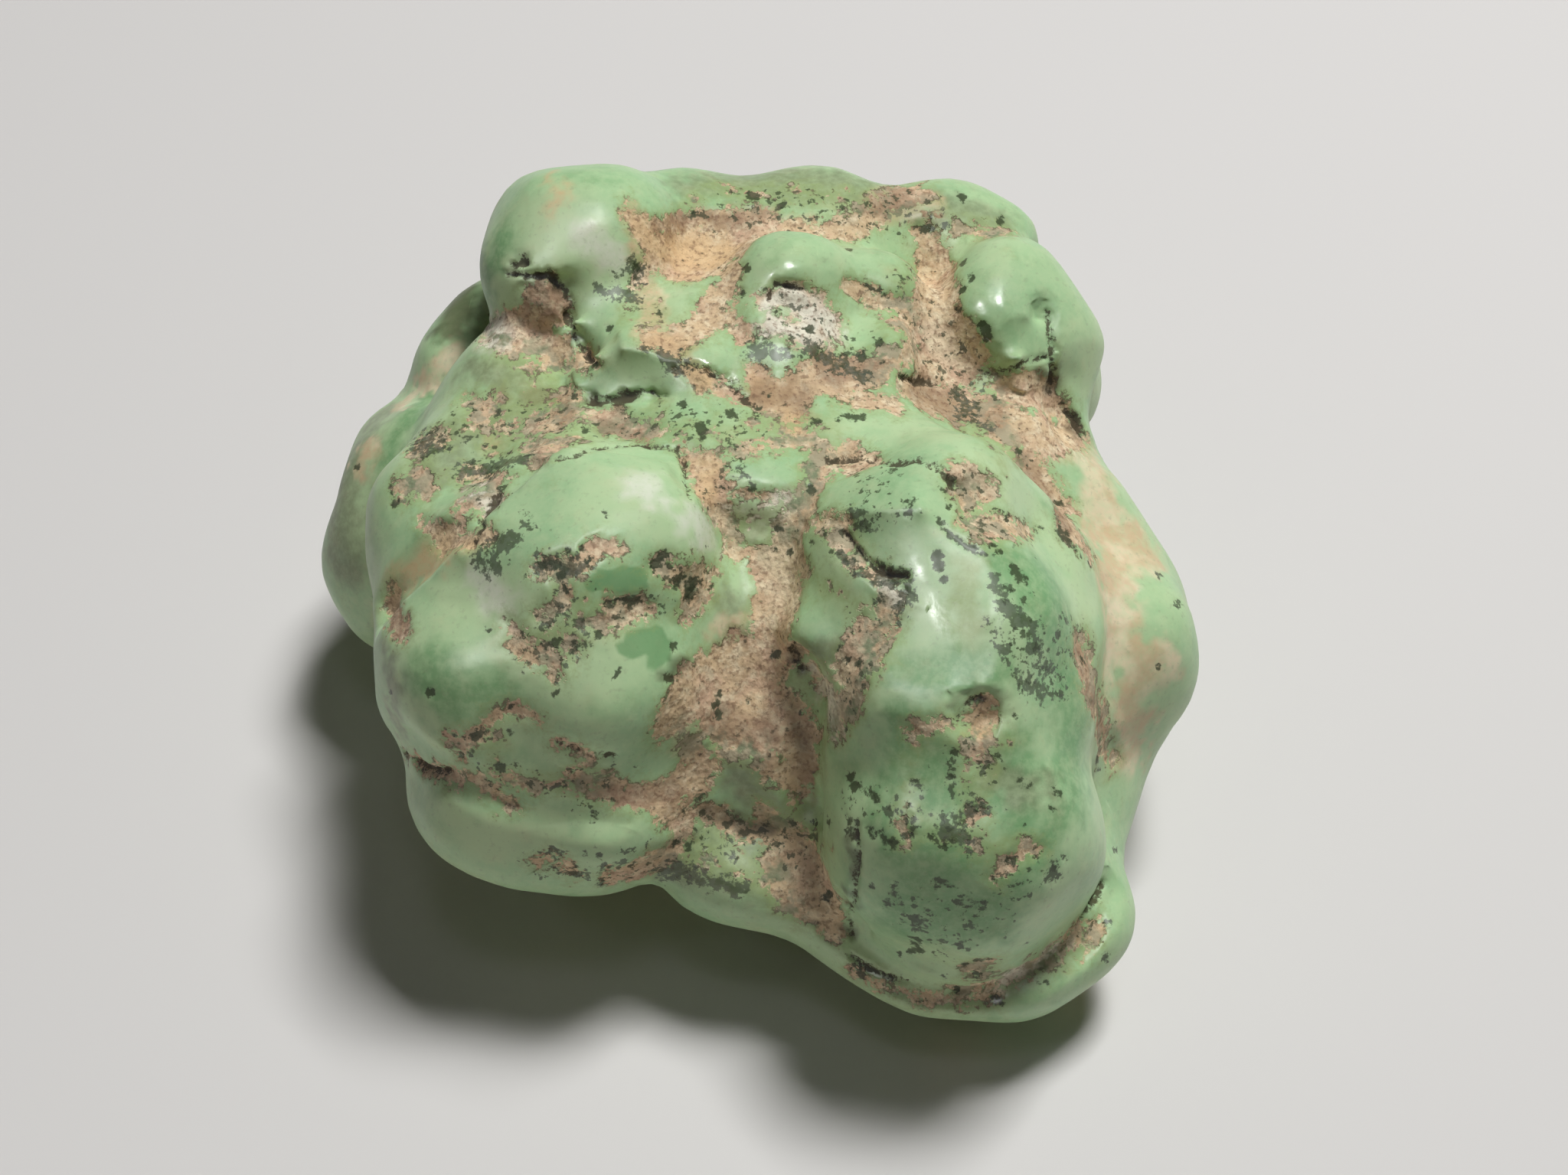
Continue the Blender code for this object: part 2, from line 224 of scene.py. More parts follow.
# Gloss and bump. The wax's roughness varies with a noise, and polish is what a gloss mark takes off it.
# The matrix's bump is a noise with cells taken off it, and the wax's is a faint noise.
WAX_NOISE = (1.6, 3.0, 0.55)
WAX_ROUGHNESS = 0.3
WAX_VARIATION = 0.2
POLISH = 0.18
MATRIX_ROUGHNESS = 0.85
CRACK_ROUGHNESS = 0.9
FLOOR_ROUGHNESS = 0.6
STONE_IOR = 1.5
GRAIN_BUMP = (0.6, 3.0, 0.5)
GRAIN_CELLS = 0.2
WAX_BUMP = (0.8, 3.0, 0.55)
WAX_BUMP_SHARE = 0.10
BUMP_DISTANCE = 0.2
BUMP_STRENGTH = 0.7

# The stage. Lights: name, place, target, size, watts, colour, whether they light matt and glossy surfaces.
FLOOR_WIDTH = 3000.0
FLOOR_DROP = 0.02
ROOM_STRENGTH = 0.013
WHITE = (1.0, 1.0, 1.0)
WARM = (1.0, 0.86, 0.68)
STONE_MIDDLE = (2.0, -4.0, 15.0)
LIGHTS = (
    ("key", (133.0, 142.0, 498.0), STONE_MIDDLE, 140.0, 2.8, WHITE, True, False),
    ("shine_overhead", (0.0, -60.0, 380.0), STONE_MIDDLE, 60.0, 0.75, WHITE, False, True),
    ("shine_left", (-200.0, -115.0, 330.0), STONE_MIDDLE, 40.0, 0.6, WHITE, False, True),
    ("fill", (-236.0, -592.0, 68.0), (-4.0, -8.0, 12.0), 110.0, 0.22, WARM, True, True))

# Places softened before the marks are laid: name: (x, y, radius), ... in pixels, joined.
SOFTENED = {
    "beside_pit": ((770, 366, 26), (782, 410, 30), (790, 450, 22)),
    "crater_brow": ((1008, 374, 14), (1040, 378, 14), (1068, 388, 12)),
    "nose_shelf": ((1160, 970, 40), (1200, 1010, 44), (1250, 1036, 44), (1300, 1036, 34)),
    "above_slot": ((770, 490, 22), (820, 486, 30), (870, 494, 24)),
    "finger_foot": ((1330, 440, 26), (1362, 440, 22), (1356, 490, 26), (1320, 490, 18)),
    "left_waist": ((528, 975, 36), (580, 1004, 36), (640, 1034, 28)),
    "block_crevice": ((1150, 700, 26), (1190, 728, 34), (1226, 764, 34)),
    "block_top": ((1216, 630, 26), (1240, 670, 28)),
    "block_step": ((1140, 700, 30), (1180, 706, 42), (1230, 716, 46), (1262, 760, 40), (1246, 820, 36)),
    "above_nose_pit": ((1190, 850, 40), (1250, 860, 42), (1304, 850, 34)),
    "nose_pit_brow": ((1262, 924, 20), (1284, 918, 20)),
    "slot_mouth": ((782, 522, 16), (820, 516, 20), (850, 512, 14)),
    "stain_crease": ((612, 704, 20), (570, 716, 24), (534, 746, 22)),
}

# Strokes by kind: name: (x, y, radius), ... in pixels. The stations of a stroke are joined. The matrix
# comes first and the green second, because the green takes away from the matrix.
STROKES = {}
STROKES["matrix"] = {
    # The far side, its pit and its valleys.
    "dome_collar": ((820, 262, 5), (824, 278, 8), (838, 294, 11), (850, 312, 15), (866, 332, 27),
        (900, 336, 37), (934, 330, 35), (966, 318, 22), (990, 306, 13)),
    "collar_foot": ((838, 362, 12), (832, 376, 9), (826, 396, 5)),
    "far_ridge_left": ((858, 292, 9), (905, 290, 14), (950, 288, 20), (1000, 291, 17), (1045, 300, 9)),
    "far_ridge_right": ((1062, 303, 9), (1100, 299, 16), (1130, 287, 15), (1155, 271, 17), (1180, 258, 17),
        (1205, 250, 11)),
    "far_ridge_end": ((1255, 299, 8), (1290, 302, 8), (1322, 306, 10)),
    "pit": ((694, 384, 10), (716, 380, 16), (726, 398, 16), (716, 416, 18), (690, 420, 20), (664, 428, 22),
        (640, 436, 16)),
    "pit_foot": ((660, 446, 16), (700, 440, 22), (732, 452, 20), (716, 474, 12), (744, 480, 10),
        (764, 466, 12), (778, 478, 6)),
    "behind_slot": ((852, 440, 15), (880, 444, 18), (908, 430, 17), (926, 405, 17), (945, 382, 15),
        (958, 352, 9)),
    "left_of_crater": ((930, 418, 14), (955, 412, 14), (968, 440, 10)),
    "below_small_dome": ((900, 486, 12), (922, 498, 16), (948, 506, 13), (966, 520, 8)),
    "crater": ((1000, 392, 12), (1030, 384, 12), (1056, 398, 20), (1078, 412, 20), (1084, 434, 14),
        (1040, 430, 14), (1012, 424, 12)),
    "band_ground": ((985, 490, 14), (1004, 512, 25), (1030, 524, 28), (1054, 500, 22), (1084, 482, 24),
        (1112, 490, 25), (1146, 484, 20), (1166, 464, 12)),
    "band_tail": ((1096, 512, 14), (1138, 524, 11), (1172, 534, 8)),
    "knob_ground": ((1108, 372, 8), (1132, 384, 12), (1150, 396, 12), (1180, 394, 15), (1196, 436, 20),
        (1176, 470, 16)),
    "right_valley_top": ((1202, 302, 11), (1216, 332, 19), (1224, 372, 30), (1214, 408, 32), (1238, 440, 34),
        (1258, 472, 34), (1216, 478, 28)),
    "right_valley_low": ((1184, 503, 13), (1214, 522, 22), (1254, 528, 28), (1292, 536, 24), (1328, 556, 30),
        (1372, 566, 30), (1404, 572, 20)),
    "under_finger": ((1300, 505, 16), (1342, 510, 24), (1370, 520, 17), (1390, 546, 12)),
    "lobe_edge": ((1346, 602, 14), (1366, 634, 14), (1386, 662, 15), (1404, 692, 14), (1424, 722, 12)),
    "lobe_strip": ((1408, 836, 10), (1420, 866, 16), (1430, 904, 18), (1438, 946, 14), (1450, 986, 12)),
    # The left shoulder and the ground in front of the slot.
    "shoulder_slate_rim": ((538, 590, 7), (552, 577, 13), (568, 572, 12)),
    "shoulder_ring": ((528, 636, 13), (544, 622, 14), (556, 636, 12)),
    "granular_patch": ((614, 622, 12), (640, 630, 16), (654, 622, 8), (626, 650, 17), (606, 664, 11),
        (642, 660, 13)),
    "swirl_left": ((612, 524, 11), (632, 526, 14), (640, 544, 10), (622, 548, 8)),
    "swirl_right": ((740, 520, 15), (738, 540, 14), (712, 548, 16), (684, 558, 10), (655, 556, 7)),
    "swirl_foot": ((696, 580, 16), (720, 586, 17), (700, 600, 8)),
    "slot_floor": ((776, 540, 9), (798, 548, 16), (824, 558, 15), (852, 564, 9), (884, 568, 8)),
    "dome_side": ((905, 596, 9), (926, 612, 24), (936, 640, 25), (944, 668, 16), (952, 700, 12),
        (966, 724, 12)),
    "island_top": ((958, 588, 8), (990, 582, 8), (1010, 574, 10), (1036, 568, 12), (1058, 572, 14)),
    "island_right": ((1074, 604, 16), (1060, 634, 13), (1046, 664, 18), (1034, 692, 20), (1026, 720, 20),
        (1044, 742, 14)),
    "island_foot": ((968, 646, 6), (1000, 650, 6), (1030, 654, 9)),
    "block_rim": ((1080, 600, 12), (1112, 606, 12), (1140, 602, 8), (1104, 584, 8)),
    # The near left dome.
    "stain_crease": ((636, 700, 8), (606, 706, 13), (576, 708, 11)),
    "stain_crease_foot": ((519, 770, 6), (514, 784, 9), (512, 804, 11), (522, 828, 12)),
    "stain_striations": ((550, 684, 6), (575, 692, 8), (606, 698, 7)),
    "cluster_top": ((704, 742, 11), (734, 740, 15), (762, 732, 13), (776, 714, 11), (800, 718, 12)),
    "cluster_middle": ((740, 764, 7), (738, 786, 10), (718, 796, 12), (700, 806, 9)),
    "cluster_low": ((668, 812, 8), (676, 836, 13), (692, 856, 12), (716, 862, 14), (730, 884, 9)),
    "cluster_low_right": ((726, 840, 7), (748, 846, 9), (752, 862, 8)),
    "dome_front_tan": ((792, 790, 8), (822, 797, 11), (850, 800, 8), (756, 816, 9)),
    "dome_front_cluster": ((856, 738, 11), (882, 752, 18), (910, 758, 21), (934, 750, 8), (908, 784, 18),
        (900, 806, 12)),
    # The valley down the front.
    "valley_top": ((978, 716, 12), (1006, 742, 24), (1022, 770, 27), (1014, 802, 28), (1008, 834, 27)),
    "valley_bowl": ((1040, 850, 14), (1006, 856, 30), (966, 868, 36), (930, 890, 36), (904, 914, 33),
        (884, 940, 24), (868, 960, 14)),
    "valley_floor": ((966, 900, 44), (956, 940, 42), (996, 950, 36), (1030, 930, 28)),
    "valley_wall": ((1046, 946, 20), (1044, 986, 24), (1040, 1022, 18), (1008, 1004, 18)),
    "valley_left_lip": ((904, 980, 16), (926, 1000, 14), (902, 1022, 20), (876, 1038, 18), (848, 1042, 16),
        (812, 1040, 17), (780, 1028, 13), (756, 1014, 7), (736, 1022, 3)),
    "valley_lip_foot": ((860, 1056, 14), (884, 1072, 14), (900, 1090, 14)),
    "block_foot": ((1150, 790, 10), (1158, 816, 18), (1132, 814, 12), (1124, 850, 23), (1110, 882, 24),
        (1116, 908, 18), (1092, 930, 14), (1088, 956, 11)),
    "wall_cream": ((1056, 872, 8), (1074, 890, 12), (1084, 916, 10), (1090, 950, 12)),
    "foot_left": ((884, 1110, 13), (858, 1126, 13), (828, 1138, 10), (794, 1146, 9)),
    "pink_slope": ((994, 1056, 12), (1012, 1084, 22), (1036, 1112, 27), (1056, 1150, 29), (1076, 1190, 24),
        (1090, 1222, 10)),
    "pink_slope_foot": ((1004, 1128, 14), (1024, 1162, 18), (1048, 1198, 12)),
    "dark_band": ((888, 1066, 9), (915, 1062, 11), (945, 1070, 14), (974, 1082, 14), (1000, 1088, 10)),
    # The lower left veins.
    "vein_arc": ((592, 966, 6), (608, 972, 8), (624, 958, 8), (640, 942, 7), (654, 928, 7), (672, 926, 6),
        (690, 934, 5), (704, 944, 3)),
    "vein_arc_foot": ((604, 976, 6), (603, 990, 5)),
    "vein_long": ((532, 986, 3), (553, 1003, 6), (576, 1010, 8), (600, 1015, 8), (626, 1021, 7),
        (646, 1034, 8), (662, 1048, 6), (676, 1054, 3)),
    "vein_middle": ((664, 1018, 4), (684, 1026, 7), (706, 1030, 5), (740, 1022, 5)),
    "vein_upper": ((726, 970, 3), (748, 977, 4), (768, 988, 6), (766, 1004, 6)),
    "foot_crumbs": ((700, 1128, 4), (716, 1122, 7), (736, 1132, 8), (748, 1144, 6)),
    # The near right block, the nose and the ledge.
    "block_patch": ((1246, 616, 9), (1264, 630, 17), (1286, 642, 13), (1262, 656, 13), (1262, 680, 12),
        (1288, 690, 15), (1318, 688, 16), (1344, 692, 8)),
    "block_crumbs": ((1062, 682, 8), (1084, 680, 11), (1102, 682, 8)),
    "crevice_crumbs": ((1096, 708, 11), (1110, 724, 13), (1130, 738, 12), (1148, 748, 8)),
    "crevice_cream": ((1160, 766, 12), (1170, 780, 11), (1160, 796, 8)),
    "nose_pit": ((1264, 936, 9), (1284, 928, 14), (1284, 954, 18), (1280, 980, 12), (1270, 1000, 8)),
    "nose_crumbs": ((1188, 952, 5), (1206, 948, 6), (1230, 944, 6)),
    "nose_grey": ((1268, 1078, 8), (1284, 1064, 8), (1266, 1108, 5)),
    "nose_left_crumbs": ((1178, 1076, 8), (1184, 1092, 7)),
    "nose_vein": ((1300, 1147, 4), (1312, 1134, 5), (1326, 1122, 6), (1342, 1108, 7), (1356, 1112, 4)),
    "ledge_strip": ((1246, 1295, 4), (1276, 1290, 7), (1312, 1283, 9), (1346, 1268, 12), (1370, 1253, 12),
        (1388, 1236, 9), (1402, 1220, 8), (1412, 1206, 5)),
    "ledge_right_streak": ((1434, 1206, 6), (1424, 1232, 7), (1412, 1250, 4)),
    "ledge_cluster": ((1262, 1268, 7), (1286, 1262, 9), (1300, 1254, 4)),
    "ledge_low_streak": ((1112, 1268, 4), (1150, 1288, 5), (1200, 1304, 5), (1268, 1306, 6), (1300, 1302, 6)),
}
# Turquoise islands within the matrix. They are taken out of the matrix field.
STROKES["green"] = {
    "behind_slot_island": ((840, 392, 16), (874, 384, 15), (902, 378, 14)),
    "small_dome": ((908, 462, 11), (936, 460, 20), (962, 468, 12)),
    "knob_right": ((1138, 348, 14), (1160, 362, 15), (1178, 376, 7)),
    "knob_low": ((1152, 412, 7), (1166, 428, 14), (1172, 446, 8)),
    "crater_lump": ((1118, 432, 16), (1104, 450, 9)),
    "saddle_island": ((1062, 534, 7), (1082, 531, 11), (1100, 530, 7)),
    "valley_island": ((1282, 500, 11), (1290, 512, 9)),
    "slot_island": ((904, 530, 10), (930, 527, 16), (950, 533, 9)),
    "slot_island_front": ((884, 556, 9), (900, 554, 8)),
    "slot_island_right": ((930, 564, 14), (952, 566, 16), (970, 570, 8)),
    "round_island": ((984, 617, 13), (1008, 618, 19), (1034, 624, 14)),
    "second_island": ((970, 668, 11), (988, 676, 15), (976, 700, 12)),
    "pale_island": ((1010, 668, 10), (1018, 678, 8)),
    "cluster_island": ((712, 820, 11), (732, 822, 12)),
    "valley_upper": ((944, 770, 18), (956, 792, 18)),
    "nodule": ((1048, 832, 13), (1072, 812, 32), (1090, 800, 14), (1066, 846, 18)),
    "wall": ((1050, 890, 10), (1056, 912, 12), (1060, 934, 7)),
    "lip": ((884, 984, 10), (862, 994, 12)),
    "valley_low": ((956, 1006, 17), (964, 1034, 20), (972, 1060, 12)),
    "slope": ((1022, 1044, 8), (1036, 1058, 10), (1048, 1072, 7)),
    "slope_pale": ((914, 1088, 9), (942, 1098, 9)),
}
# Ground where the matrix and the turquoise mingle.
STROKES["mottle"] = {
    "ridge": ((905, 262, 18), (960, 250, 20), (1030, 252, 22), (1090, 262, 22), (1150, 262, 24),
        (1210, 280, 22), (1270, 298, 16), (1320, 306, 14)),
    "pit_foot": ((650, 440, 18), (690, 470, 26), (740, 480, 18)),
    "shoulder": ((600, 540, 20), (640, 528, 30), (690, 520, 34), (730, 540, 34), (760, 570, 26),
        (700, 580, 34), (640, 590, 26)),
    "shoulder_grey": ((560, 576, 20), (536, 632, 26), (514, 650, 12)),
    "granular": ((620, 630, 26), (630, 660, 24)),
    "slot": ((860, 530, 24), (820, 560, 22), (880, 560, 22), (950, 565, 26), (1010, 560, 24),
        (1080, 552, 18)),
    "collar": ((860, 410, 22), (820, 420, 20)),
    "valley_side": ((1180, 340, 16), (1180, 420, 26), (1160, 480, 26)),
    "right_valley": ((1270, 560, 26), (1320, 600, 24), (1290, 500, 20)),
    "island": ((960, 690, 26), (1010, 690, 30), (1050, 650, 18), (1074, 580, 22)),
    "block_foot": ((1070, 764, 22), (1130, 790, 24), (1150, 850, 26), (1120, 920, 24), (1090, 960, 18)),
    "crumb": ((1074, 690, 18), (1110, 700, 26), (1130, 730, 20)),
    "cluster": ((720, 750, 24), (760, 800, 28), (800, 800, 18), (700, 830, 30), (740, 860, 24)),
    "front_cluster": ((870, 750, 26), (910, 770, 30), (880, 810, 12)),
    "bowl_foot": ((890, 970, 24), (940, 975, 22), (990, 985, 16)),
    "slope": ((890, 1120, 30), (940, 1120, 30), (990, 1140, 26), (1030, 1190, 22)),
    "slope_top": ((1010, 1050, 20), (1050, 1080, 20), (1080, 1110, 12)),
    "vein": ((610, 975, 14), (650, 960, 14), (650, 1030, 14), (690, 1020, 12), (780, 1010, 20)),
    "block_patch": ((1250, 650, 24), (1290, 690, 24), (1330, 700, 16)),
    "nose": ((1250, 950, 22), (1300, 980, 26), (1270, 1030, 24), (1280, 1080, 24)),
    "nose_side": ((1200, 948, 12), (1182, 1084, 16), (1340, 1110, 16)),
    "lobe_strip": ((1412, 820, 16), (1430, 880, 26), (1440, 950, 26), (1452, 1010, 18)),
    "ledge": ((1270, 1270, 20), (1340, 1270, 18), (1420, 1230, 22), (1250, 1300, 12)),
}
# Ground strewn with fine dark flecks.
STROKES["flecks"] = {
    "dome": ((712, 738, 30), (740, 790, 34), (700, 840, 34), (760, 850, 26), (730, 884, 14)),
    "dome_front": ((856, 740, 22), (900, 765, 34), (840, 796, 18), (800, 800, 16)),
    "shoulder": ((640, 640, 30), (620, 530, 22), (560, 580, 20), (730, 540, 24)),
    "slot": ((790, 560, 24), (850, 550, 24), (910, 550, 30), (980, 560, 26), (930, 640, 26)),
    "ridge": ((930, 275, 26), (1020, 270, 30), (1110, 280, 30), (1200, 270, 30)),
    "crater": ((1010, 400, 26), (1070, 420, 30), (1040, 455, 24), (1120, 460, 30)),
    "valley": ((1180, 380, 30), (1230, 440, 34), (1270, 520, 38)),
    "block": ((1100, 610, 26), (1180, 660, 18), (1090, 700, 30), (1160, 770, 26)),
    "patch": ((1250, 640, 26), (1290, 690, 30), (1340, 700, 18)),
    "block_right": ((1320, 790, 26), (1350, 850, 34), (1370, 900, 30), (1400, 820, 24)),
    "foot_right": ((1130, 830, 26), (1120, 900, 26)),
    "nose": ((1270, 1000, 40), (1190, 1080, 38), (1130, 1060, 30), (1260, 1080, 40)),
    "nose_low": ((1190, 1190, 36), (1240, 1240, 26), (1360, 1130, 30)),
    "vein": ((620, 965, 22), (650, 1010, 24), (700, 1025, 20), (780, 1035, 30)),
    "foot": ((710, 1125, 24), (770, 1140, 22), (840, 1120, 22)),
    "slope": ((920, 1080, 34), (990, 1110, 34), (1050, 1100, 26)),
}
# Soft tan, where the border with the turquoise is blurred.
STROKES["tan"] = {
    "ridge": ((880, 296, 14), (940, 290, 20), (1000, 292, 18), (1060, 300, 14), (1110, 290, 16),
        (1160, 272, 18), (1215, 266, 14)),
    "left_band": ((596, 452, 12), (572, 482, 14), (546, 508, 12), (524, 530, 9)),
    "lobe": ((1330, 560, 22), (1380, 570, 30), (1424, 600, 20), (1436, 650, 24), (1446, 700, 34),
        (1482, 712, 32), (1508, 738, 20)),
    "lobe_low": ((1454, 750, 28), (1464, 806, 24), (1466, 850, 26), (1500, 866, 26), (1528, 866, 16),
        (1474, 900, 28), (1480, 950, 26), (1476, 990, 20)),
    "collar": ((826, 270, 12), (850, 400, 18), (850, 425, 20)),
    "bowl_lip": ((930, 826, 14), (960, 820, 12), (890, 960, 20)),
    "left_lobe": ((482, 586, 14), (470, 612, 12)),
    "ridge_top": ((1150, 254, 12), (1172, 262, 14)),
}
# Stains: ochre, rust and cream, then ground that is paler, deeper, yellower or duller. Some of these marks
# are painted highlights, painted light over shaded places and painted shade, as noted at each.
STROKES["ochre"] = {
    "collar": ((822, 270, 8), (828, 284, 10), (842, 300, 14), (862, 326, 22), (900, 336, 30), (940, 330, 22)),
    "dome_stain": ((722, 236, 9), (732, 250, 13), (722, 266, 9)),
    "slot": ((858, 442, 18), (888, 450, 14), (905, 490, 12), (928, 500, 14)),
    "ground": ((985, 500, 16), (1008, 515, 20), (1030, 540, 16), (1040, 560, 10)),
    "crease": ((620, 708, 12), (590, 718, 18), (562, 728, 24), (536, 750, 22), (516, 780, 10)),
    "shoulder": ((632, 592, 6), (646, 584, 8), (658, 582, 5)),
    "dome_side": ((920, 606, 14), (928, 640, 16)),
    "nose_pit": ((1272, 946, 12), (1286, 958, 12), (1284, 975, 10)),
    "lobe": ((1440, 700, 22), (1462, 720, 22), (1440, 750, 16)),
}
STROKES["rust_and_painted_shade"] = {
    "pit": ((704, 378, 12), (726, 386, 16), (726, 404, 14), (700, 400, 10)),
    "ridge": ((862, 294, 8), (900, 288, 8), (950, 282, 12), (990, 284, 9)),
    "ground": ((1072, 468, 14), (1098, 482, 18), (1130, 482, 14)),
    "lobe": ((1334, 590, 8), (1350, 614, 10), (1372, 650, 10), (1396, 684, 10)),
    "strip": ((1414, 850, 12), (1428, 900, 14), (1440, 950, 12)),
    "swirl": ((620, 514, 7), (642, 516, 8), (728, 520, 10), (734, 538, 10)),
    "slot": ((796, 556, 12), (820, 562, 12), (840, 570, 8)),
    "wall": ((1040, 945, 12), (1052, 975, 13), (1056, 1008, 11), (1052, 1034, 8)),
    "bowl_low": ((950, 948, 20), (990, 950, 20)),
    "lip": ((925, 828, 7), (945, 826, 7), (962, 838, 8), (975, 848, 5)),
    "vein": ((880, 1032, 14), (906, 1040, 13), (830, 1044, 14), (800, 1040, 12)),
    "slope": ((900, 1106, 10), (880, 1104, 8)),
    "left": ((512, 790, 9), (516, 812, 11), (522, 830, 9)),
    "valley_foot": ((1196, 508, 12), (1218, 520, 20), (1244, 534, 22), (1270, 545, 24), (1296, 548, 18)),
    "ground_low": ((990, 508, 14), (1014, 518, 20), (1044, 520, 18)),
    "ridge_low": ((1136, 268, 14), (1170, 264, 18), (1212, 286, 16)),
    # Painted shade: the rear lobe lies in shade and is darkened.
    "rear_lobe_painted_shade": ((606, 362, 22), (598, 392, 28), (590, 424, 26)),
}
STROKES["cream_and_painted_light"] = {
    "crater": ((1004, 394, 14), (1034, 388, 12), (1056, 402, 20), (1078, 414, 18), (1084, 436, 14),
        (1040, 432, 14), (1010, 424, 14)),
    "crevice_pale": ((1160, 764, 12), (1172, 778, 10)),
    "wall_tint": ((1058, 876, 10), (1076, 894, 13), (1086, 945, 16), (1092, 965, 10)),
    "lobe": ((1460, 770, 18), (1460, 810, 16), (1446, 840, 10)),
    "pit": ((640, 420, 16), (650, 440, 16), (632, 450, 10)),
    "granular": ((622, 636, 18), (636, 656, 16)),
    "island": ((1010, 664, 16), (1030, 650, 10)),
    # Painted light over the ledge, which lies in shade.
    "slope": ((1310, 1284, 14), (1350, 1266, 16), (1390, 1236, 12)),
    # Painted highlights on the far and near domes, then painted light over the low island, the dome side and
    # the waist, which lie in shade.
    "far_dome": ((766, 306, 18), (790, 328, 22), (812, 350, 16)),
    "near_dome": ((836, 632, 20), (858, 652, 20)),
    "island_low": ((964, 664, 14), (988, 672, 16), (984, 700, 14)),
    "dome_side": ((912, 684, 20), (932, 706, 16)),
    "waist": ((628, 752, 20), (656, 786, 20), (672, 806, 16)),
}
STROKES["pale"] = {
    "rim": ((1076, 562, 12), (1130, 556, 14), (1190, 560, 16), (1250, 582, 16), (1300, 620, 16),
        (1350, 672, 14), (1392, 730, 14), (1420, 800, 12)),
    # Painted highlights on the far, near and side domes.
    "far_dome": ((720, 290, 40), (770, 320, 44), (800, 340, 34)),
    "near_dome": ((780, 650, 40), (840, 660, 44), (900, 700, 26)),
    "side_dome": ((590, 770, 34), (650, 784, 34), (700, 776, 22)),
    "lower_dome": ((580, 1060, 20), (640, 1100, 26), (720, 1080, 20)),
    "finger": ((1406, 405, 7), (1420, 460, 8), (1430, 510, 8)),
    # Painted light over the valley under the finger, which lies in shade.
    "valley_painted_light": ((1226, 430, 18), (1250, 456, 22)),
    "island": ((960, 680, 16), (1000, 700, 24), (1026, 740, 22), (1030, 780, 18)),
    # Painted light over the crease and under the beak, which lie in shade.
    "crease": ((620, 706, 16), (570, 722, 20), (534, 750, 16), (514, 784, 10)),
    "under_beak": ((790, 470, 20), (830, 484, 22), (866, 492, 16)),
    "crumb": ((1072, 716, 20), (1092, 750, 26), (1112, 786, 22)),
    "foot": ((1084, 862, 16), (1096, 890, 22), (1094, 920, 22), (1090, 952, 18)),
    "wall": ((1048, 886, 14), (1058, 915, 14)),
    "front": ((690, 800, 20), (724, 800, 22), (760, 824, 22), (800, 822, 18)),
}
STROKES["deep"] = {
    "shoulder": ((500, 600, 12), (520, 560, 13), (546, 530, 14), (562, 512, 10)),
    "far_dome": ((664, 306, 18), (642, 340, 18), (634, 376, 18), (642, 408, 14)),
    "nose": ((1180, 940, 30), (1210, 1000, 44), (1170, 1080, 44), (1230, 1130, 50), (1180, 1200, 36),
        (1290, 1200, 40), (1340, 1130, 34), (1390, 1060, 26)),
    "block": ((1320, 730, 30), (1360, 770, 36), (1390, 840, 34), (1400, 940, 34), (1400, 1020, 30)),
    "block_front": ((1160, 880, 26), (1200, 880, 34), (1250, 872, 34), (1300, 870, 30)),
    "left_dome": ((560, 880, 34), (600, 910, 34), (660, 900, 30)),
    # Painted shade: the rear lobe lies in shade and is darkened.
    "rear_lobe_painted_shade": ((606, 362, 22), (598, 392, 28), (590, 424, 26), (600, 440, 18)),
    "nose_top": ((1320, 980, 26), (1336, 1020, 32), (1330, 1066, 28), (1280, 1040, 26), (1226, 1046, 26)),
}
STROKES["yellow"] = {
    "shoulder": ((640, 476, 20), (680, 486, 24), (720, 500, 22), (700, 540, 24), (640, 540, 24)),
    "block": ((1264, 744, 18), (1262, 790, 18), (1270, 830, 16)),
    "lobe": ((1440, 620, 14), (1430, 650, 14), (1450, 690, 8)),
}
STROKES["dull"] = {
    "ridge": ((890, 246, 20), (950, 242, 26), (1010, 240, 30), (1070, 240, 30), (1130, 252, 28),
        (1190, 262, 26), (1250, 276, 24), (1310, 296, 18)),
    "shoulder": ((620, 480, 20), (660, 500, 26), (700, 520, 26), (650, 560, 30), (600, 560, 20),
        (560, 620, 24), (610, 600, 24)),
    "nose_top": ((1300, 1010, 22), (1336, 1030, 26), (1370, 1036, 20)),
    "nodule": ((1058, 850, 18), (1090, 845, 14)),
    "far_left": ((500, 540, 20), (470, 580, 24), (450, 630, 28), (445, 680, 28), (452, 740, 26)),
    "left_edge": ((508, 850, 10), (514, 900, 12), (520, 950, 12)),
    "valley": ((950, 780, 18), (965, 1020, 20), (1040, 1062, 14)),
    "slope": ((880, 1130, 30), (930, 1104, 34), (975, 1104, 34), (950, 1130, 34), (1000, 1150, 30)),
}
# Painted shade in clefts, under brims and over the rear lobe.
STROKES["shade"] = {
    "slot": ((776, 523, 7), (800, 520, 9), (830, 514, 7), (855, 512, 4)),
    "pit": ((668, 358, 5), (700, 364, 7), (730, 374, 7), (738, 394, 6)),
    "rear_lobe_painted_shade": ((606, 362, 22), (598, 392, 28), (590, 424, 26), (600, 440, 18)),
    "finger": ((1350, 478, 7), (1372, 490, 8), (1392, 536, 7), (1410, 556, 7)),
    "nodule": ((1036, 846, 7), (1042, 868, 7), (1052, 880, 4)),
    "nose_left": ((1112, 1090, 5), (1116, 1130, 5), (1112, 1180, 5), (1112, 1220, 4)),
    "band": ((915, 1064, 8), (945, 1072, 10), (975, 1084, 11), (1000, 1088, 7)),
    "lip": ((866, 886, 6), (880, 876, 7), (894, 866, 4)),
}
